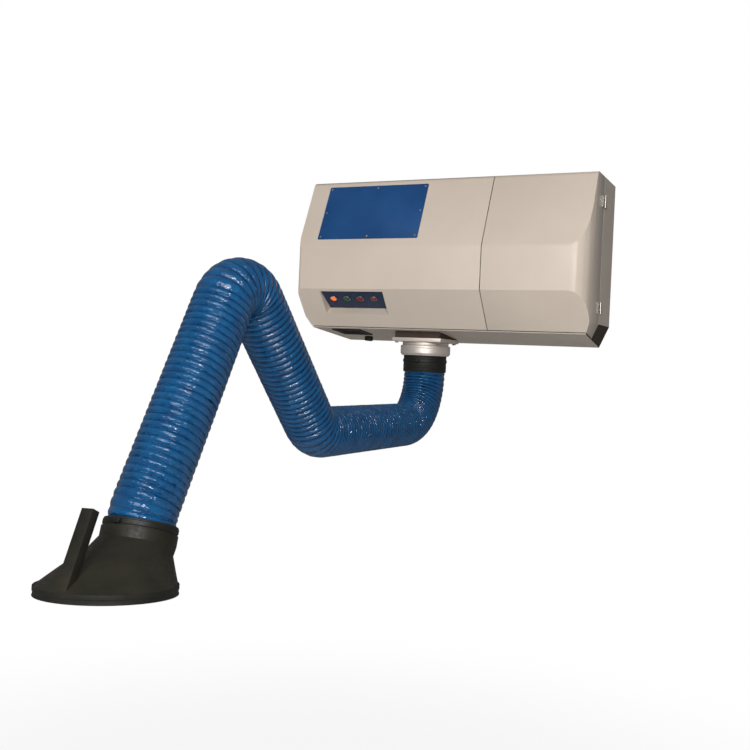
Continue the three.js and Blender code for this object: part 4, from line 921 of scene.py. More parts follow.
@dataclass
class Cabinet:
    """Sheet-metal cabinet with its door and blue access panel."""

    screws: ScrewSet
    slope: FaceFrame = FaceFrame(431 * MM, 339 * MM, 313 * MM, 612 * MM)
    panel_left: float = -377 * MM
    panel_width: float = 416 * MM
    panel_low: float = 36 * MM
    panel_height: float = 236 * MM
    panel_gap: float = 0.3 * MM
    panel_thickness: float = 2.8 * MM
    panel_corner: float = 5 * MM
    panel_bevel: float = 0.7 * MM
    screw_inset: float = 11 * MM
    bend: float = 3.5 * MM
    edge: float = 0.6 * MM
    box_depth: float = 200 * MM
    joint: float = 3.5 * MM
    joint_reach: float = 1 * MM
    # Thickness of the corner skin of painted shade.
    skin: float = 0.4 * MM
    corner_lean: float = 0.3
    hinge_face: float = 674.8 * MM
    hinge_reach: float = 19 * MM
    hinge_screws: tuple[float, float] = (9 * MM, 31 * MM)

    def build(self) -> None:
        """Makes the covers, the panel and the screws."""
        for name, body, node in (
            ("cover_sheet", "cabinet", "front_cover"),
            ("door_sheet", "door", "filter_door"),
            ("box_sheet", "cabinet", "back_box"),
        ):
            mesh = softened(node, self.bend, self.edge)
            if node == "back_box":
                self.open_joint(mesh)
            add_piece(name, mesh, Look.CABINET, body, "cabinet_paint", node)
        self.build_corner_shade()
        self.build_panel()
        self.build_hinge_screws()

    def open_joint(self, mesh: Mesh) -> None:
        """Sets the box's front edge back, so that the joint with the cover shows.

        Args:
            mesh: the box.
        """
        for vertex in mesh.vertices:
            if abs(vertex.co.y + self.box_depth) < self.joint_reach:
                vertex.co.y += self.joint

    def build_corner_shade(self) -> None:
        """Makes a thin skin of painted shade on the bevelled lower corner of the box."""
        work = cad_copy("back_box")
        work.normal_update()
        lean = self.corner_lean
        other = [face for face in work.faces if face.normal.x < lean or face.normal.z > -lean]
        bmesh.ops.delete(work, geom=other, context="FACES")
        bmesh.ops.solidify(work, geom=work.faces[:], thickness=-self.skin)
        bmesh.ops.recalc_face_normals(work, faces=work.faces)
        # Painted shade: the skin darkens a corner facet that is dark only from shade.
        add_piece("corner_shade_skin", mesh_of(work), Look.PAINTED_SHADE, "cabinet", "cabinet_paint")

    def build_panel(self) -> None:
        """Makes the access panel with a screw at each corner and mid-side."""
        face = self.slope.matrix()
        x0, y0 = self.panel_left, self.panel_low
        x1, y1 = x0 + self.panel_width, y0 + self.panel_height
        outline = rounded([(x0, y0), (x1, y0), (x1, y1), (x0, y1)], self.panel_corner, 5)
        bevel, high = self.panel_bevel, self.panel_thickness
        inner = [
            (x0 + bevel + (x - x0) * (1 - 2 * bevel / self.panel_width),
             y0 + bevel + (y - y0) * (1 - 2 * bevel / self.panel_height))
            for x, y in outline
        ]
        rings = [(outline, self.panel_gap), (outline, high - bevel), (inner, high)]
        points = np.array([(x, y, z) for ring, z in rings for x, y in ring])
        count = len(outline)
        faces: list[Sequence[int]] = [range(count)[::-1], range(2 * count, 3 * count)]
        for level in range(2):
            for k in range(count):
                a, b = level * count + k, level * count + (k + 1) % count
                faces.append((a, b, b + count, a + count))
        mesh = mesh_from(points, faces)
        mesh.transform(face)
        add_piece("panel_plate", mesh, Look.BLUE, "cabinet", "blue_paint", "access_panel")
        inset = self.screw_inset
        middle = ((x0 + x1) / 2, (y0 + y1) / 2)
        spots = [
            face @ Vector((x, y, high))
            for x in (x0 + inset, middle[0], x1 - inset)
            for y in (y0 + inset, middle[1], y1 - inset)
            if (x, y) != middle
        ]
        normal = face.to_3x3() @ Vector((0, 0, 1))
        self.screws.place("panel_screws", spots, normal, Screw.PANEL, "cabinet")

    def build_hinge_screws(self) -> None:
        """Makes the screws of the hinge leaves."""
        for body, leaf, side in (("cabinet", "hinge_leaf", 1), ("door", "door_leaf", -1)):
            y = -self.box_depth + side * self.hinge_reach
            spots = []
            for node in (leaf + "_upper", leaf + "_lower"):
                low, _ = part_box(node)
                spots += [Vector((self.hinge_face, y, low[2] + rise)) for rise in self.hinge_screws]
            self.screws.place(body + "_hinge_screws", spots, Vector((1, 0, 0)), Screw.HINGE, body)

    def dress(self) -> None:
        """Gives the remaining cabinet nodes their finish."""
        dress(Look.CABINET, "control_tray")
        # Painted shade: the inlet wedge is darkened as the shadow in the gap above the flange plate.
        dress(Look.PAINTED_SHADE, "inlet_wedge")
        dress(Look.INSIDE, "partition", "control_box")
        dress(Look.STEEL, "wall_rail", "wall_spacer")
        dress(Look.ZINC, "hinge_leaf_upper", "hinge_leaf_lower", "door_leaf_upper", "door_leaf_lower")
        dress(Look.DARK, "outlet_grille", "cable_gland")


@dataclass
class Controls:
    """Lamps and push buttons in the recess of the lower chamfer."""

    chamfer: FaceFrame = FaceFrame(316 * MM, 38 * MM, 431 * MM, 182 * MM)
    first: float = -314 * MM
    pitch: float = 57.5 * MM
    tray_top: float = 174 * MM
    tray_depth: float = 6 * MM
    tray_tilt: float = 18.0
    drop: float = 47 * MM
    plate_face: float = 2.1 * MM
    bezel_radius: float = 14 * MM
    bezel_height: float = 4 * MM
    bezel_side: float = 2.8 * MM
    bezel_bevel: float = 1.6 * MM
    bezel_soft: float = 0.5 * MM
    bezel_facets: int = 48
    stem_radius: float = 11 * MM
    stem: float = 30 * MM
    lens_radius: float = 11 * MM
    lens_lift: float = 2.4 * MM
    lens_height: float = 5.58 * MM
    lens_root: float = 2 * MM
    lens_play: float = 0.2 * MM
    lens_tip: float = 0.1 * MM
    cap_radius: float = 8.5 * MM
    cap_height: float = 11 * MM
    cap_root: float = 20 * MM
    cap_play: float = 0.5 * MM
    cap_bevel: tuple[float, float] = (1.2 * MM, 0.4 * MM)
    cap_dish: tuple[float, float] = (0.5 * MM, 0.8 * MM)
    cap_soft: float = 0.8 * MM
    cap_facets: int = 40
    cap_crease: float = 50.0
    lens_crease: float = 60.0

    def spot(self, place: int) -> Matrix:
        """Frame of one control on the plate.

        Args:
            place: number of the control from the left.

        Returns:
            The frame in the row frame.
        """
        across = self.first + place * self.pitch
        upper_edge = Matrix.Translation((0, self.tray_top, -self.tray_depth))
        lean = Matrix.Rotation(math.radians(self.tray_tilt), 4, "X")
        own = Matrix.Translation((across, -self.drop, self.plate_face))
        return self.chamfer.matrix() @ upper_edge @ lean @ own

    def bezel(self, name: str, place: int, bore: float, *nodes: str) -> None:
        """Makes a turned bezel ring with its threaded stem.

        Args:
            name: the piece's name.
            place: number of the control from the left.
            bore: radius of its hole.
            nodes: CAD nodes that it replaces.
        """
        outline = [
            (bore, -self.stem),
            (self.stem_radius, -self.stem),
            (self.stem_radius, 0.0),
            (self.bezel_radius, 0.0),
            (self.bezel_radius, self.bezel_side),
            (self.bezel_radius - self.bezel_bevel, self.bezel_height),
            (bore, self.bezel_height),
        ]
        mesh = turned(rounded(outline, self.bezel_soft), self.spot(place), self.bezel_facets)
        add_piece(name, mesh, Look.ZINC, "cabinet", "steel", *nodes)

    def lamp(self, name: str, place: int, look: Look, slot: str) -> None:
        """Makes a lamp: bezel and domed lens.

        Args:
            name: the lamp's name, also of its CAD node.
            place: number of the lamp from the left.
            look: finish of its lens.
            slot: material slot of the lens.
        """
        radius = self.lens_radius
        self.bezel(name + "_bezel", place, radius)
        dome = [
            (radius * math.cos(t), self.lens_lift + self.lens_height * math.sin(t))
            for t in np.linspace(0, math.pi / 2, 9)[:-1]
        ]
        foot = [(ON_AXIS, -self.lens_root), (radius - self.lens_play, -self.lens_root)]
        outline = [*foot, *dome, (ON_AXIS, dome[-1][1] + self.lens_tip)]
        mesh = turned(outline, self.spot(place), self.cap_facets, self.lens_crease)
        add_piece(name + "_lens", mesh, look, "cabinet", slot, name)

    def button(self, name: str, place: int, look: Look, slot: str, body: str) -> None:
        """Makes a push button: bezel and dished cap.

        Args:
            name: the button's name, also of its CAD node.
            place: number of the button from the left.
            look: finish of its cap.
            slot: material slot of the cap.
            body: CAD body of the cap.
        """
        radius, top = self.cap_radius, self.cap_height
        inward, down = self.cap_bevel
        half_way, middle = self.cap_dish
        self.bezel(name + "_ring", place, radius + self.cap_play, name + "_housing")
        outline = [
            (ON_AXIS, -self.cap_root),
            (radius, -self.cap_root),
            (radius, top - down),
            (radius - inward, top),
            (radius / 2, top - half_way),
            (ON_AXIS, top - middle),
        ]
        mesh = turned(rounded(outline, self.cap_soft), self.spot(place), self.cap_facets, self.cap_crease)
        add_piece(name + "_cap", mesh, look, body, slot, name)

    def build(self) -> None:
        """Makes the row of controls."""
        self.lamp("run_lamp", 0, Look.LIT, "lit_lens")
        self.button("start_button", 1, Look.GREEN, "green_plastic", "start_key")
        self.button("stop_button", 2, Look.RED, "red_plastic", "stop_key")
        self.lamp("fault_lamp", 3, Look.UNLIT, "dark_lens")

    def dress(self) -> None:
        """Gives the plate behind the controls its finish."""
        dress(Look.SLATE, "control_plate")


@dataclass(frozen=True)
class WormBand:
    """Worm-drive band: strip, screw block and screw."""

    inner: float
    thickness: float
    top: float
    height: float = 12 * MM
    bevel: float = 0.9 * MM
    slant: float = 1.2 * MM
    strip_soft: float = 0.3 * MM
    block_half: float = 8.5 * MM
    block_rise: float = 6 * MM
    block_root: float = 0.8 * MM
    block_inset: float = 0.4 * MM
    block_edge: float = 1.2 * MM
    screw_radius: float = 3 * MM
    screw_rise: float = 3.2 * MM
    screw_ends: tuple[float, float] = (-12 * MM, 11 * MM)
    screw_soft: float = 0.5 * MM
    screw_facets: int = 20

    def mesh(self, place: Matrix) -> Mesh:
        """Makes the band.

        Args:
            place: frame of the band's axis.

        Returns:
            The new mesh.
        """
        inner, top = self.inner, self.top
        outer, low = inner + self.thickness, top - self.height
        shoulder = outer - self.bevel
        strip = [
            (inner, low), (shoulder, low), (outer, low + self.slant),
            (outer, top - self.slant), (shoulder, top), (inner, top),
        ]
        ring = turned(rounded(strip, self.strip_soft, 2), place)
        block = solid_block(
            (-self.block_half, -outer - self.block_rise, low + self.block_inset),
            (self.block_half, -outer + self.block_root, top - self.block_inset),
            place,
            self.block_edge,
        )
        middle = Matrix.Translation((0, -outer - self.screw_rise, top - self.height / 2))
        across = Matrix.Rotation(math.pi / 2, 4, "Y")
        (back, front), radius = self.screw_ends, self.screw_radius
        shank = [(ON_AXIS, back), (radius, back), (radius, front), (ON_AXIS, front)]
        screw = turned(rounded(shank, self.screw_soft, 2), place @ middle @ across, self.screw_facets)
        return joined([ring, block, screw])


@dataclass
class Swivel:
    """Turning flange under the cabinet, with rubber sleeve and band; outlines in millimetres."""

    screws: ScrewSet
    neck: Outline = (
        (68, -6.3), (68, -50.3), (84.5, -50.3), (84.5, -42.3), (78, -42.3), (78, -18.3), (90, -18.3),
        (90, -6.3),
    )
    neck_soft: float = 1.0 * MM
    ring: Outline = (
        (78.5, -18.8), (78.5, -42), (85, -42), (85, -50.8), (68, -50.8), (68, -118.5), (70.8, -118.5),
        (70.8, -57.8), (91, -57.8), (92.5, -56.5), (92.5, -54.2), (95.6, -51.6), (97, -49.8), (97, -31.4),
        (96.2, -30.6), (96.2, -29.4), (97, -28.6), (97, -21), (95, -18.8),
    )
    ring_soft: float = 1.4 * MM
    plate_half: float = 100 * MM
    plate_low: float = -6 * MM
    plate_high: float = 9 * MM
    plate_edge: float = 1.5 * MM
    bolt_reach: float = 86 * MM
    sleeve_inner: float = 80.9 * MM
    sleeve_wall: float = 2.5 * MM
    sleeve_top: float = -58.2 * MM
    sleeve_low: float = -121 * MM
    sleeve_soft: float = 0.5 * MM
    ridge_levels: tuple[float, ...] = (-112 * MM, -104 * MM, -96 * MM)
    ridge: float = 1.1 * MM
    ridge_half: float = 0.8 * MM
    band: WormBand = WormBand(83.8 * MM, 2 * MM, -72.4 * MM)

    def build(self) -> None:
        """Makes the turned rings, the sleeve, the plate and its bolts."""
        place = Matrix.Translation((0, -SWIVEL_DEPTH, -RAIL_LEVEL))
        for name, outline, soft, body, node in (
            ("neck_turned", self.neck, self.neck_soft, "cabinet", "flange_neck"),
            ("ring_turned", self.ring, self.ring_soft, "swivel", "swivel_ring"),
        ):
            mesh = turned(rounded(metres(outline), soft), place)
            add_piece(name, mesh, Look.ALUMINIUM, body, "aluminium", node)
        self.build_sleeve(place)
        half, low = self.plate_half, self.plate_low
        plate = solid_block((-half, -half, low), (half, half, self.plate_high), place, self.plate_edge)
        add_piece("plate_cast", plate, Look.ALUMINIUM, "cabinet", "aluminium", "swivel_plate")
        ways = (-self.bolt_reach, self.bolt_reach)
        spots = [place @ Vector((x, y, low)) for x in ways for y in ways]
        self.screws.place("flange_bolts", spots, Vector((0, 0, -1)), Screw.FLANGE, "cabinet")

    def build_sleeve(self, place: Matrix) -> None:
        """Makes the ridged rubber sleeve and its worm-drive band.

        Args:
            place: frame of the swivel.
        """
        inner, outer = self.sleeve_inner, self.sleeve_inner + self.sleeve_wall
        crest, half = outer + self.ridge, self.ridge_half
        outline = [(inner, self.sleeve_top), (inner, self.sleeve_low), (outer, self.sleeve_low)]
        for z in self.ridge_levels:
            outline += [(outer, z - 2 * half), (crest, z - half), (crest, z + half), (outer, z + 2 * half)]
        outline.append((outer, self.sleeve_top))
        mesh = turned(rounded(outline, self.sleeve_soft, 2), place)
        add_piece("sleeve_rubber", mesh, Look.RUBBER, "swivel", "rubber", "rubber_sleeve")
        add_piece("sleeve_band", self.band.mesh(place), Look.DARK, "swivel", "zinc", "sleeve_clamp")

    def dress(self) -> None:
        """Gives the strap and bolt inside the hose their finish."""
        dress(Look.STEEL, "base_strap")
        dress(Look.ZINC, "shoulder_bolt")


@dataclass
class HoseArm:
    """Ribbed hose along its route, over the links inside it.

    The corners of the route are reach and level in millimetres, from the swivel axis and from the cabinet's
    rear bottom edge. The bends are radii in millimetres.
    """

    radius: float = 81 * MM
    sag: float = 3.8 * MM
    pitch: float = 19 * MM
    wrinkle: float = 2.4 * MM
    wrinkle_scale: float = 95.0
    wrinkle_seed: float = 3.7
    crest_power: float = 0.85
    wall: float = 1.6 * MM
    facets: int = 96
    steps_per_rib: int = 9
    corners: Outline = (
        (0.0, -58.1), (0.0, -321.0), (885.0, -318.0), (1344.0, 150.0), (1690.0, -458.0),
    )
    bends: tuple[float, ...] = (190.0, 120.0, 95.0, 150.0)
    hood_tilt: float = 18.0
    hood_side_tilt: float = -2.5
    end_drop: float = -51.4 * MM
    tail: float = 60 * MM
    neck_shift: float = 20 * MM
    neck_run: float = 138 * MM
    collar_run: float = 48 * MM
    points: np.ndarray = field(init=False)
    along: np.ndarray = field(init=False)
    spans: list[tuple[float, float]] = field(init=False)

    def hood_frame(self) -> Matrix:
        """Frame of the hood joint, Z up along the hood's neck.

        Returns:
            The frame in the row frame.
        """
        reach, level = self.corners[-1]
        spot = Matrix.Translation((0, -SWIVEL_DEPTH - reach * MM, level * MM - RAIL_LEVEL))
        lean = Matrix.Rotation(-math.radians(self.hood_tilt), 4, "X")
        side = Matrix.Rotation(math.radians(self.hood_side_tilt), 4, "Y")
        return spot @ lean @ side

    def route(self) -> None:
        """Works out the route: points 1 mm apart, their distances and the bends' ends."""
        corners = [Vector((0, -SWIVEL_DEPTH - s * MM, h * MM - RAIL_LEVEL)) for s, h in self.corners]
        corners.append(self.hood_frame() @ Vector((0, 0, self.end_drop)))
        points: list[Vector] = []

        def straight(begin: Vector, end: Vector) -> float:
            """Adds a straight run to the points.

            Args:
                begin, end: its ends.

            Returns:
                Its length.
            """
            length = (end - begin).length
            count = max(2, int(length / MM))
            points.extend(begin.lerp(end, k / count) for k in range(count))
            return length

        self.spans = []
        start, travelled = corners[0], 0.0
        for corner, before, after, bend in zip(corners[1:-1], corners, corners[2:], self.bends):
            back = (before - corner).normalized()
            on = (after - corner).normalized()
            half = back.angle(on) / 2
            radius = bend * MM
            into = corner + back * (radius / math.tan(half))
            out = corner + on * (radius / math.tan(half))
            travelled += straight(start, into)
            centre = corner + (back + on).normalized() * (radius / math.sin(half))
            spoke = into - centre
            axis = spoke.cross(out - centre).normalized()
            sweep = math.pi - 2 * half
            count = max(4, int(radius * sweep / MM))
            for k in range(count):
                points.append(centre + Matrix.Rotation(sweep * k / count, 3, axis) @ spoke)
            self.spans.append((travelled, travelled + radius * sweep))
            travelled += radius * sweep
            start = out
        straight(start, corners[-1])
        points.append(corners[-1])
        self.points = np.array(points)
        gaps = np.linalg.norm(np.diff(self.points, axis=0), axis=1)
        self.along = np.concatenate([[0.0], np.cumsum(gaps)])

    def at(self, distance: float) -> Vector:
        """Point of the route at a distance from its upper end."""
        return Vector([np.interp(distance, self.along, self.points[:, k]) for k in range(3)])

    def on_crest(self, distance: float) -> float:
        """Nearest distance that is a whole number of ribs."""
        return round(distance / self.pitch) * self.pitch

    def tree(self) -> Tree:
        """Builds the tree that turns a path into creased, ribbed film.

        Returns:
            The tree.
        """
        tree = Tree(
            "ribbed_hose", Radius="Float", Sag="Float", Pitch="Float", Wrinkle="Float",
            Start="Float", Step="Float", Facets="Int",
        )
        path = tree.out("Curve", "GeometryNodeMeshToCurve", {"Mesh": tree.value("Geometry")})
        links = {"Curve": path, "Length": tree.value("Step")}
        fine = tree.out("Curve", "GeometryNodeResampleCurve", links, mode="LENGTH")
        links = {"Curve": fine, "Normal": (1.0, 0.0, 0.0)}
        upright = tree.out("Curve", "GeometryNodeSetCurveNormal", links, mode="FREE")
        passed = tree.out("Length", "GeometryNodeSplineParameter")
        marked = tree.store(upright, rib_distance=tree.math("ADD", passed, tree.value("Start")))
        links = {"Resolution": tree.value("Facets"), "Radius": tree.value("Radius")}
        ring = tree.out("Curve", "GeometryNodeCurvePrimitiveCircle", links)
        turn = tree.out("Factor", "GeometryNodeSplineParameter")
        angle = tree.math("MULTIPLY", turn, 2 * math.pi)
        across, up = tree.math("COSINE", angle), tree.math("SINE", angle)
        ringed = tree.store(ring, rib_turn=turn, rib_across=across, rib_up=up)
        skin = tree.out("Mesh", "GeometryNodeCurveToMesh", {"Curve": marked, "Profile Curve": ringed})
        ribs = tree.math("DIVIDE", tree.kept("rib_distance"), tree.value("Pitch"))
        phase = tree.math("ADD", ribs, tree.kept("rib_turn"))
        wave = tree.math("SINE", tree.math("MULTIPLY", phase, math.pi))
        crest = tree.math("POWER", tree.math("ABSOLUTE", wave), self.crest_power)
        groove = tree.math("SUBTRACT", 1.0, crest)
        shaded = tree.store(skin, rib_groove=groove)
        links = {"Scale": self.wrinkle_scale, "Detail": 2.0, "W": self.wrinkle_seed}
        creases = tree.out(0, "ShaderNodeTexNoise", links, noise_dimensions="4D")
        puckers = tree.math("MULTIPLY", creases, tree.value("Wrinkle"))
        sunk = tree.math("MULTIPLY", groove, tree.value("Sag"))
        depth = tree.math("ADD", tree.math("MULTIPLY", puckers, crest), sunk)
        normal = tree.out(0, "GeometryNodeInputNormal")
        links = {0: normal, "Scale": tree.math("MULTIPLY", depth, -1.0)}
        push = tree.out(0, "ShaderNodeVectorMath", links, operation="SCALE")
        tree.finish(tree.out("Geometry", "GeometryNodeSetPosition", {"Geometry": shaded, "Offset": push}))
        return tree

    def length_of_hose(self, tree: Tree, name: str, start: float, end: float) -> bpy.types.Object:
        """Makes one length of hose.

        Args:
            tree: the hose tree.
            name: the piece's name.
            start, end: distances along the route.

        Returns:
            The new piece.
        """
        clear = 0.2 * MM
        inside = (self.along > start + clear) & (self.along < end - clear)
        path = [self.at(start), *map(Vector, self.points[inside]), self.at(end)]
        seed = bpy.data.meshes.new(name + "_path")
        seed.from_pydata([tuple(p) for p in path], [(k, k + 1) for k in range(len(path) - 1)], [])
        mesh = tree.grow(
            seed, Look.HOSE,
            Radius=self.radius, Sag=self.sag, Pitch=self.pitch, Wrinkle=self.wrinkle,
            Start=start, Step=self.pitch / self.steps_per_rib, Facets=self.facets,
        )
        mesh.shade_smooth()
        thing = piece_of(name, mesh, Look.HOSE)
        walled = thing.modifiers.new("film_wall", "SOLIDIFY")
        walled.thickness = self.wall
        walled.offset = -1.0
        evaluated = thing.evaluated_get(bpy.context.evaluated_depsgraph_get())
        thing.data = bpy.data.meshes.new_from_object(evaluated)
        thing.modifiers.clear()
        bpy.data.meshes.remove(mesh)
        return thing

    def ends_of_bend(self, start: float, end: float) -> tuple[Vector, Vector]:
        """Points between which a bend's skin turns, clear of the rings at its two ends.

        Args:
            start, end: distances of the bend's two end rings along the route.

        Returns:
            The two points.
        """
        first, last = self.at(start), self.at(end)
        way = (last - first).normalized()

        def half_width(distance: float) -> float:
            """How far an end ring leans along the way between the ends.

            Args:
                distance: the ring's distance along the route.

            Returns:
                The lean in metres.
            """
            nudge = 2 * MM
            tangent = (self.at(distance + nudge) - self.at(distance - nudge)).normalized()
            return self.radius * math.sqrt(max(0.0, 1 - tangent.dot(way) ** 2))

        return first + way * half_width(start), last - way * half_width(end)

    def build(self) -> None:
        """Makes the hose lengths and hides the CAD hose nodes that they replace."""
        self.route()
        tree = self.tree()
        total = float(self.along[-1])
        shoulder, knee, elbow, neck = self.spans
        middle_1, middle_2, middle_3 = (
            self.on_crest((before[1] + after[0]) / 2) for before, after in zip(self.spans, self.spans[1:])
        )
        joint = (neck[0] + neck[1]) / 2 - self.neck_shift
        tail = self.tail
        lengths = (
            ("hose_at_shoulder", 0.0, middle_1, "swivel", "arm_1", shoulder[0], shoulder[1] + tail / 2,
             ("hose_shoulder", "hose_link_1")),
            ("hose_at_knee", middle_1, middle_2, "arm_1", "arm_2", knee[0] - tail, knee[1] + tail,
             ("hose_knee", "hose_link_2")),
            ("hose_at_elbow", middle_2, middle_3, "arm_2", "arm_3", elbow[0] - tail, elbow[1] + tail,
             ("hose_elbow", "hose_link_3")),
            ("hose_at_neck", middle_3, joint, "arm_3", "cross", joint - self.neck_run, joint,
             ("hose_neck",)),
            ("hose_in_collar", joint, total, "cross", "yoke", joint, joint + self.collar_run, ()),
        )
        for name, start, end, first, second, bend_start, bend_end, nodes in lengths:
            thing = self.length_of_hose(tree, name, start, end)
            near, far = self.ends_of_bend(bend_start, bend_end)
            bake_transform(thing)
            if nodes:
                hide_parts(*nodes)
            log.info("piece %s between %s and %s", name, first, second)

    def dress(self) -> None:
        """Gives the links and bolts inside the hose their finish."""
        dress(Look.STEEL, "link_1", "link_2", "link_3")
        dress(Look.ZINC, "knee_bolt", "elbow_bolt")


@dataclass
class Hood:
    """Oblique cone hood with collar, rubber rim and grip; all sizes but the band's are in millimetres.

    The stations of its shell are offset from the neck axis, level, radius and cant in degrees.
    """

    place: Matrix
    shell_wall: float = 3.0
    shell_steps: int = 8
    shell_crease: float = 30.0
    facets: int = 128
    stations: tuple[tuple[float, float, float, float], ...] = (
        (0.0, -50.0, 85.1, 0.0),
        (0.0, -74.3, 85.1, 0.0),
        (-19.0, -100.7, 93.1, 4.67),
        (-76.0, -180.0, 150.0, 14.0),
    )
    collar: Outline = (
        (80.9, -30), (80.9, -51.7), (71.4, -51.7), (71.4, -57.7), (80.9, -57.7), (80.9, -74),
        (84.8, -74), (84.8, -36), (85.7, -34.5), (85.7, -31.5), (84.4, -30),
    )
    rim: Outline = (
        (0.2, -0.4), (3.5, -0.4), (3.5, 1.4), (5.9, 1.4), (5.9, -8.6), (4.6, -9.6),
        (4.6, -17.4), (5.9, -18.4), (5.9, -20.0), (0.2, -20.0),
    )
    neck: Outline = (
        (68, -22), (68, -64), (79, -64), (79, -58), (70.8, -58), (70.8, -22),
    )
    soft: float = 0.8
    grip_bend: float = 1.0
    grip_edge: float = 1.6
    band: WormBand = WormBand(85.2 * MM, 1.9 * MM, -34.2 * MM)

    def circle(
        self, offset: float, level: float, radius: float, cant: float, shift: float = 0.0
    ) -> np.ndarray:
        """Circle of the hood in its own frame, in metres.

        Args:
            offset: middle of the circle from the neck axis.
            level: height of its middle.
            radius: its radius.
            cant: degrees of its plane from square to the neck.
            shift: move along its own normal.

        Returns:
            Its points.
        """
        t = np.linspace(0, 2 * math.pi, self.facets, endpoint=False)
        flat = np.stack([radius * np.cos(t), radius * np.sin(t), np.full(self.facets, shift)], axis=1)
        turn = np.array(Matrix.Rotation(math.radians(cant), 3, "X"))
        return (flat @ turn.T + np.array([0, offset, level])) * MM

    def shell_rings(self, wall: float) -> list[np.ndarray]:
        """Rings of the shell from socket to rim.

        Args:
            wall: outward move.

        Returns:
            The rings.
        """
        spots = [
            tuple(a + (b - a) * k / self.shell_steps for a, b in zip(first, second))
            for first, second in zip(self.stations, self.stations[1:])
            for k in range(self.shell_steps)
        ]
        spots.append(self.stations[-1])
        return [self.circle(offset, level, radius + wall, cant) for offset, level, radius, cant in spots]

    def turn_piece(self, outline: Outline) -> Mesh:
        """Ring turned about the hood's neck from an outline with softened corners."""
        return turned(rounded(metres(outline), self.soft * MM), self.place)

    def build(self) -> None:
        """Makes the shell, collar, rim, grip, band and the spigot in the neck."""
        inside, outside = self.shell_rings(0.0), self.shell_rings(self.shell_wall)
        shell = ring_mesh([*inside[::-1], *outside], self.shell_crease)
        shell.transform(self.place)
        add_piece("cone_shell", shell, Look.HOOD, "hood", "black_plastic", "hood_shell")
        collar = self.turn_piece(self.collar)
        add_piece("collar_moulded", collar, Look.HOOD, "hood", "black_plastic", "hood_collar")
        self.build_rim()
        grip = softened("hood_handle", self.grip_bend * MM, self.grip_edge * MM)
        add_piece("grip_bar", grip, Look.HOOD, "hood", "black_plastic", "hood_handle")
        add_piece("collar_band", self.band.mesh(self.place), Look.DARK, "hood", "zinc", "hood_clamp")
        add_piece("neck_spigot", self.turn_piece(self.neck), Look.ALUMINIUM, "yoke", "aluminium", "neck_ring")

    def build_rim(self) -> None:
        """Makes the rubber rim: a lip over the shell's edge, a step and a rolled lower edge."""
        offset, level, radius, cant = self.stations[-1]
        outline = rounded(self.rim, self.soft)
        mesh = ring_mesh([self.circle(offset, level, radius + r, cant, z) for r, z in outline])
        mesh.transform(self.place)
        add_piece("rim_rubber", mesh, Look.RUBBER, "hood", "rubber", "hood_rim")

    def dress(self) -> None:
        """Gives the universal joint in the neck its finish."""
        dress(Look.STEEL, "hood_yoke")
        dress(Look.ZINC, "hood_cross")


@dataclass
class FilterUnit:
    """Filter, fan and pipe inside the cabinet."""

    left: float = 250.3 * MM
    length: float = 340 * MM
    depth: float = 205 * MM
    level: float = 350 * MM
    outer: float = 144.5 * MM
    inner: float = 131 * MM
    pleats: int = 110

    def build(self) -> None:
        """Makes the pleated cartridge."""
        tree = Tree(
            "pleated_filter", Pleats="Int", Outer="Float", Inner="Float", From="Vector", To="Vector"
        )
        names = {"Points": "Pleats", "Inner Radius": "Inner", "Outer Radius": "Outer"}
        links = {key: tree.value(label) for key, label in names.items()}
        star = tree.out("Curve", "GeometryNodeCurveStar", links)
        links = {"Start": tree.value("From"), "End": tree.value("To")}
        line = tree.out("Curve", "GeometryNodeCurvePrimitiveLine", links)
        links = {"Curve": line, "Profile Curve": star, "Fill Caps": True}
        tree.finish(tree.out("Mesh", "GeometryNodeCurveToMesh", links))
        y, z = -self.depth, self.level - RAIL_LEVEL
        mesh = tree.grow(
            bpy.data.meshes.new("cartridge_seed"), Look.FILTER,
            Pleats=self.pleats, Outer=self.outer, Inner=self.inner,
            From=(self.left, y, z), To=(self.left + self.length, y, z),
        )
        add_piece("pleated_cartridge", mesh, Look.FILTER, "cabinet", "filter_media", "filter_cartridge")

    def dress(self) -> None:
        """Gives the fan, the pipe and the fittings of the filter their finish."""
        dress(Look.ZINC, "filter_end_plate", "filter_tie_rod", "inlet_elbow", "fan_scroll", "impeller")
        dress(Look.STEEL, "fan_motor")


@dataclass(frozen=True)
class Lamp:
    """Square soft light: its place, its side and its power in watts."""

    name: str
    spot: tuple[float, float, float]
    side: float
    power: float

    def build(self, aim: Vector) -> None:
        """Adds the light.

        Args:
            aim: point that it faces.
        """
        data = bpy.data.lights.new(self.name, "AREA")
        data.size = self.side
        data.energy = self.power
        thing = bpy.data.objects.new(self.name, data)
        thing.location = self.spot
        thing.rotation_euler = (aim - Vector(self.spot)).to_track_quat("-Z", "Y").to_euler()
        bpy.context.scene.collection.objects.link(thing)


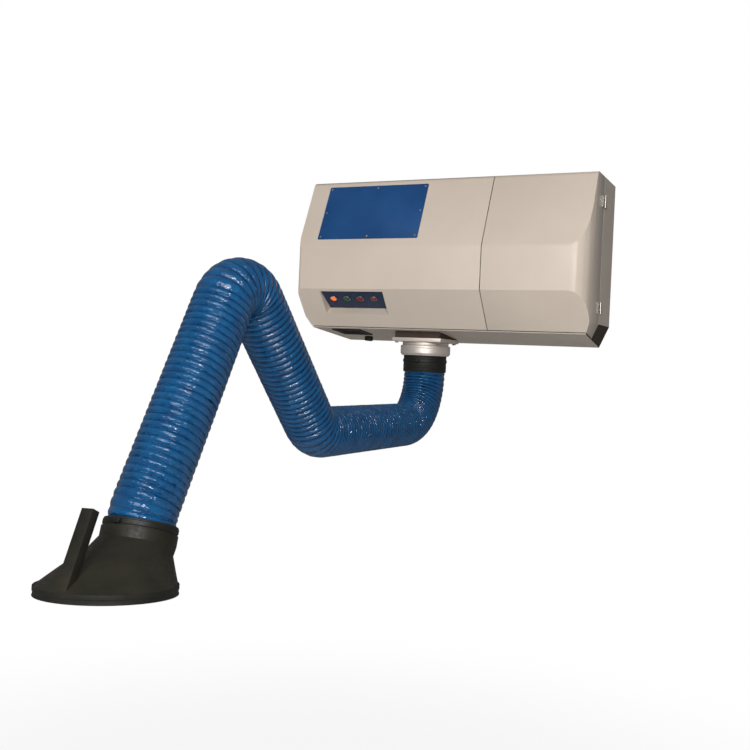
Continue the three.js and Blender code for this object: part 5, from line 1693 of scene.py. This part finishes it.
@dataclass
class Studio:
    """Camera at the picture's viewpoint, soft lights, white surroundings and floor.

    The eye is measured from the cabinet's rear bottom edge. The camera's angles are in radians, its focal
    length and image in pixels.
    """

    eye: tuple[float, float, float] = (1.3950, -3.6502, -0.0969)
    yaw: float = 0.435
    pitch: float = -0.012
    roll: float = 0.044
    focal: float = 950.0
    image: float = 750.0
    sensor: float = 36.0
    far: float = 60.0
    lamps: tuple[Lamp, ...] = (
        Lamp("key_light", (1.75, -3.9, 0.1), 0.24, 40),
        Lamp("front_light", (1.0, -5.2, 1.3), 2.6, 135),
    )
    aim: tuple[float, float, float] = (0.0, -0.9, -0.4)
    grey: float = 0.13  # strength of the surroundings as light
    mirrored: float = 0.1  # share of their whiteness that shiny faces show
    floor_level: float = -2.3
    floor_half: float = 14.0
    floor_shade: float = 0.86
    floor_roughness: float = 0.9
    floor_middle: tuple[float, float] = (0.0, -1.0)
    fade_from: float = 1.2  # the floor's shadows fade to white between these distances
    fade_to: float = 3.2
    floor_white: float = 0.88

    def camera(self) -> None:
        """Sets the camera."""
        level = math.cos(self.pitch)
        ahead = Vector((-math.sin(self.yaw) * level, math.cos(self.yaw) * level, math.sin(self.pitch)))
        right = Vector((math.cos(self.yaw), math.sin(self.yaw), 0))
        up = right.cross(ahead)
        across = right * math.cos(self.roll) + up * math.sin(self.roll)
        upright = up * math.cos(self.roll) - right * math.sin(self.roll)
        data = bpy.data.cameras.new("camera")
        data.sensor_width = self.sensor
        data.lens = self.sensor * self.focal / self.image
        data.clip_end = self.far
        thing = bpy.data.objects.new("camera", data)
        turn = Matrix((across, upright, -ahead)).transposed().to_4x4()
        thing.matrix_world = Matrix.Translation(Vector(self.eye) - Vector((0, 0, RAIL_LEVEL))) @ turn
        bpy.context.scene.collection.objects.link(thing)
        bpy.context.scene.camera = thing

    def surroundings(self) -> None:
        """Makes the world white to the camera and soft grey as light."""
        world = bpy.data.worlds.new("studio")
        bpy.context.scene.world = world
        world.use_nodes = True
        nodes = Nodes(world.node_tree)
        rays = nodes.add("ShaderNodeLightPath").outputs
        seen = nodes.math("MAXIMUM", rays["Is Camera Ray"], rays["Is Transmission Ray"])
        mirrored = nodes.math("MULTIPLY", rays["Is Glossy Ray"], self.mirrored)
        links = {"Value": nodes.math("MAXIMUM", seen, mirrored), "To Min": self.grey, "To Max": 1.0}
        ground = nodes.tree.nodes["Background"].inputs
        nodes.feed(ground["Color"], (1, 1, 1, 1))
        nodes.feed(ground["Strength"], nodes.out("Result", "ShaderNodeMapRange", links))

    def floor(self) -> None:
        """Makes a wide pale floor that keeps soft shadows near its middle."""
        half, z = self.floor_half, self.floor_level
        mesh = bpy.data.meshes.new("floor")
        corners = [(-half, -half, z), (half, -half, z), (half, half, z), (-half, half, z)]
        mesh.from_pydata(corners, [], [(0, 1, 2, 3)])
        paint = Palette("floor_paint")
        shade = self.floor_shade
        paint.shade({"Base Color": (shade, shade, shade, 1), "Roughness": self.floor_roughness})
        links = {0: paint.place, 1: (*self.floor_middle, z)}
        away = paint.out("Value", "ShaderNodeVectorMath", links, operation="DISTANCE")
        fade = paint.spread(
            away, self.floor_white, 1.0, self.fade_from, self.fade_to, interpolation_type="SMOOTHSTEP"
        )
        seen = paint.out("Is Camera Ray", "ShaderNodeLightPath")
        glow = paint.out(0, "ShaderNodeEmission")
        links = {0: paint.math("MULTIPLY", seen, fade), 1: paint.shader.outputs[0], 2: glow}
        surface = paint.tree.nodes["Material Output"].inputs["Surface"]
        paint.feed(surface, paint.out(0, "ShaderNodeMixShader", links))
        mesh.materials.append(paint.material)
        thing = bpy.data.objects.new("floor", mesh)
        bpy.context.scene.collection.objects.link(thing)

    def build(self) -> None:
        """Sets camera, surroundings, floor and lights."""
        self.camera()
        self.surroundings()
        self.floor()
        for lamp in self.lamps:
            lamp.build(Vector(self.aim))
        bpy.context.scene.view_settings.view_transform = "Standard"


def main() -> None:
    """Builds and dresses every sub-assembly, then sets the studio."""
    screws = ScrewSet()
    arm = HoseArm()
    for part in (Cabinet(screws), Controls(), Swivel(screws), arm, Hood(arm.hood_frame()), FilterUnit()):
        part.build()
        part.dress()
    Studio().build()


if __name__ == "__main__":
    main()
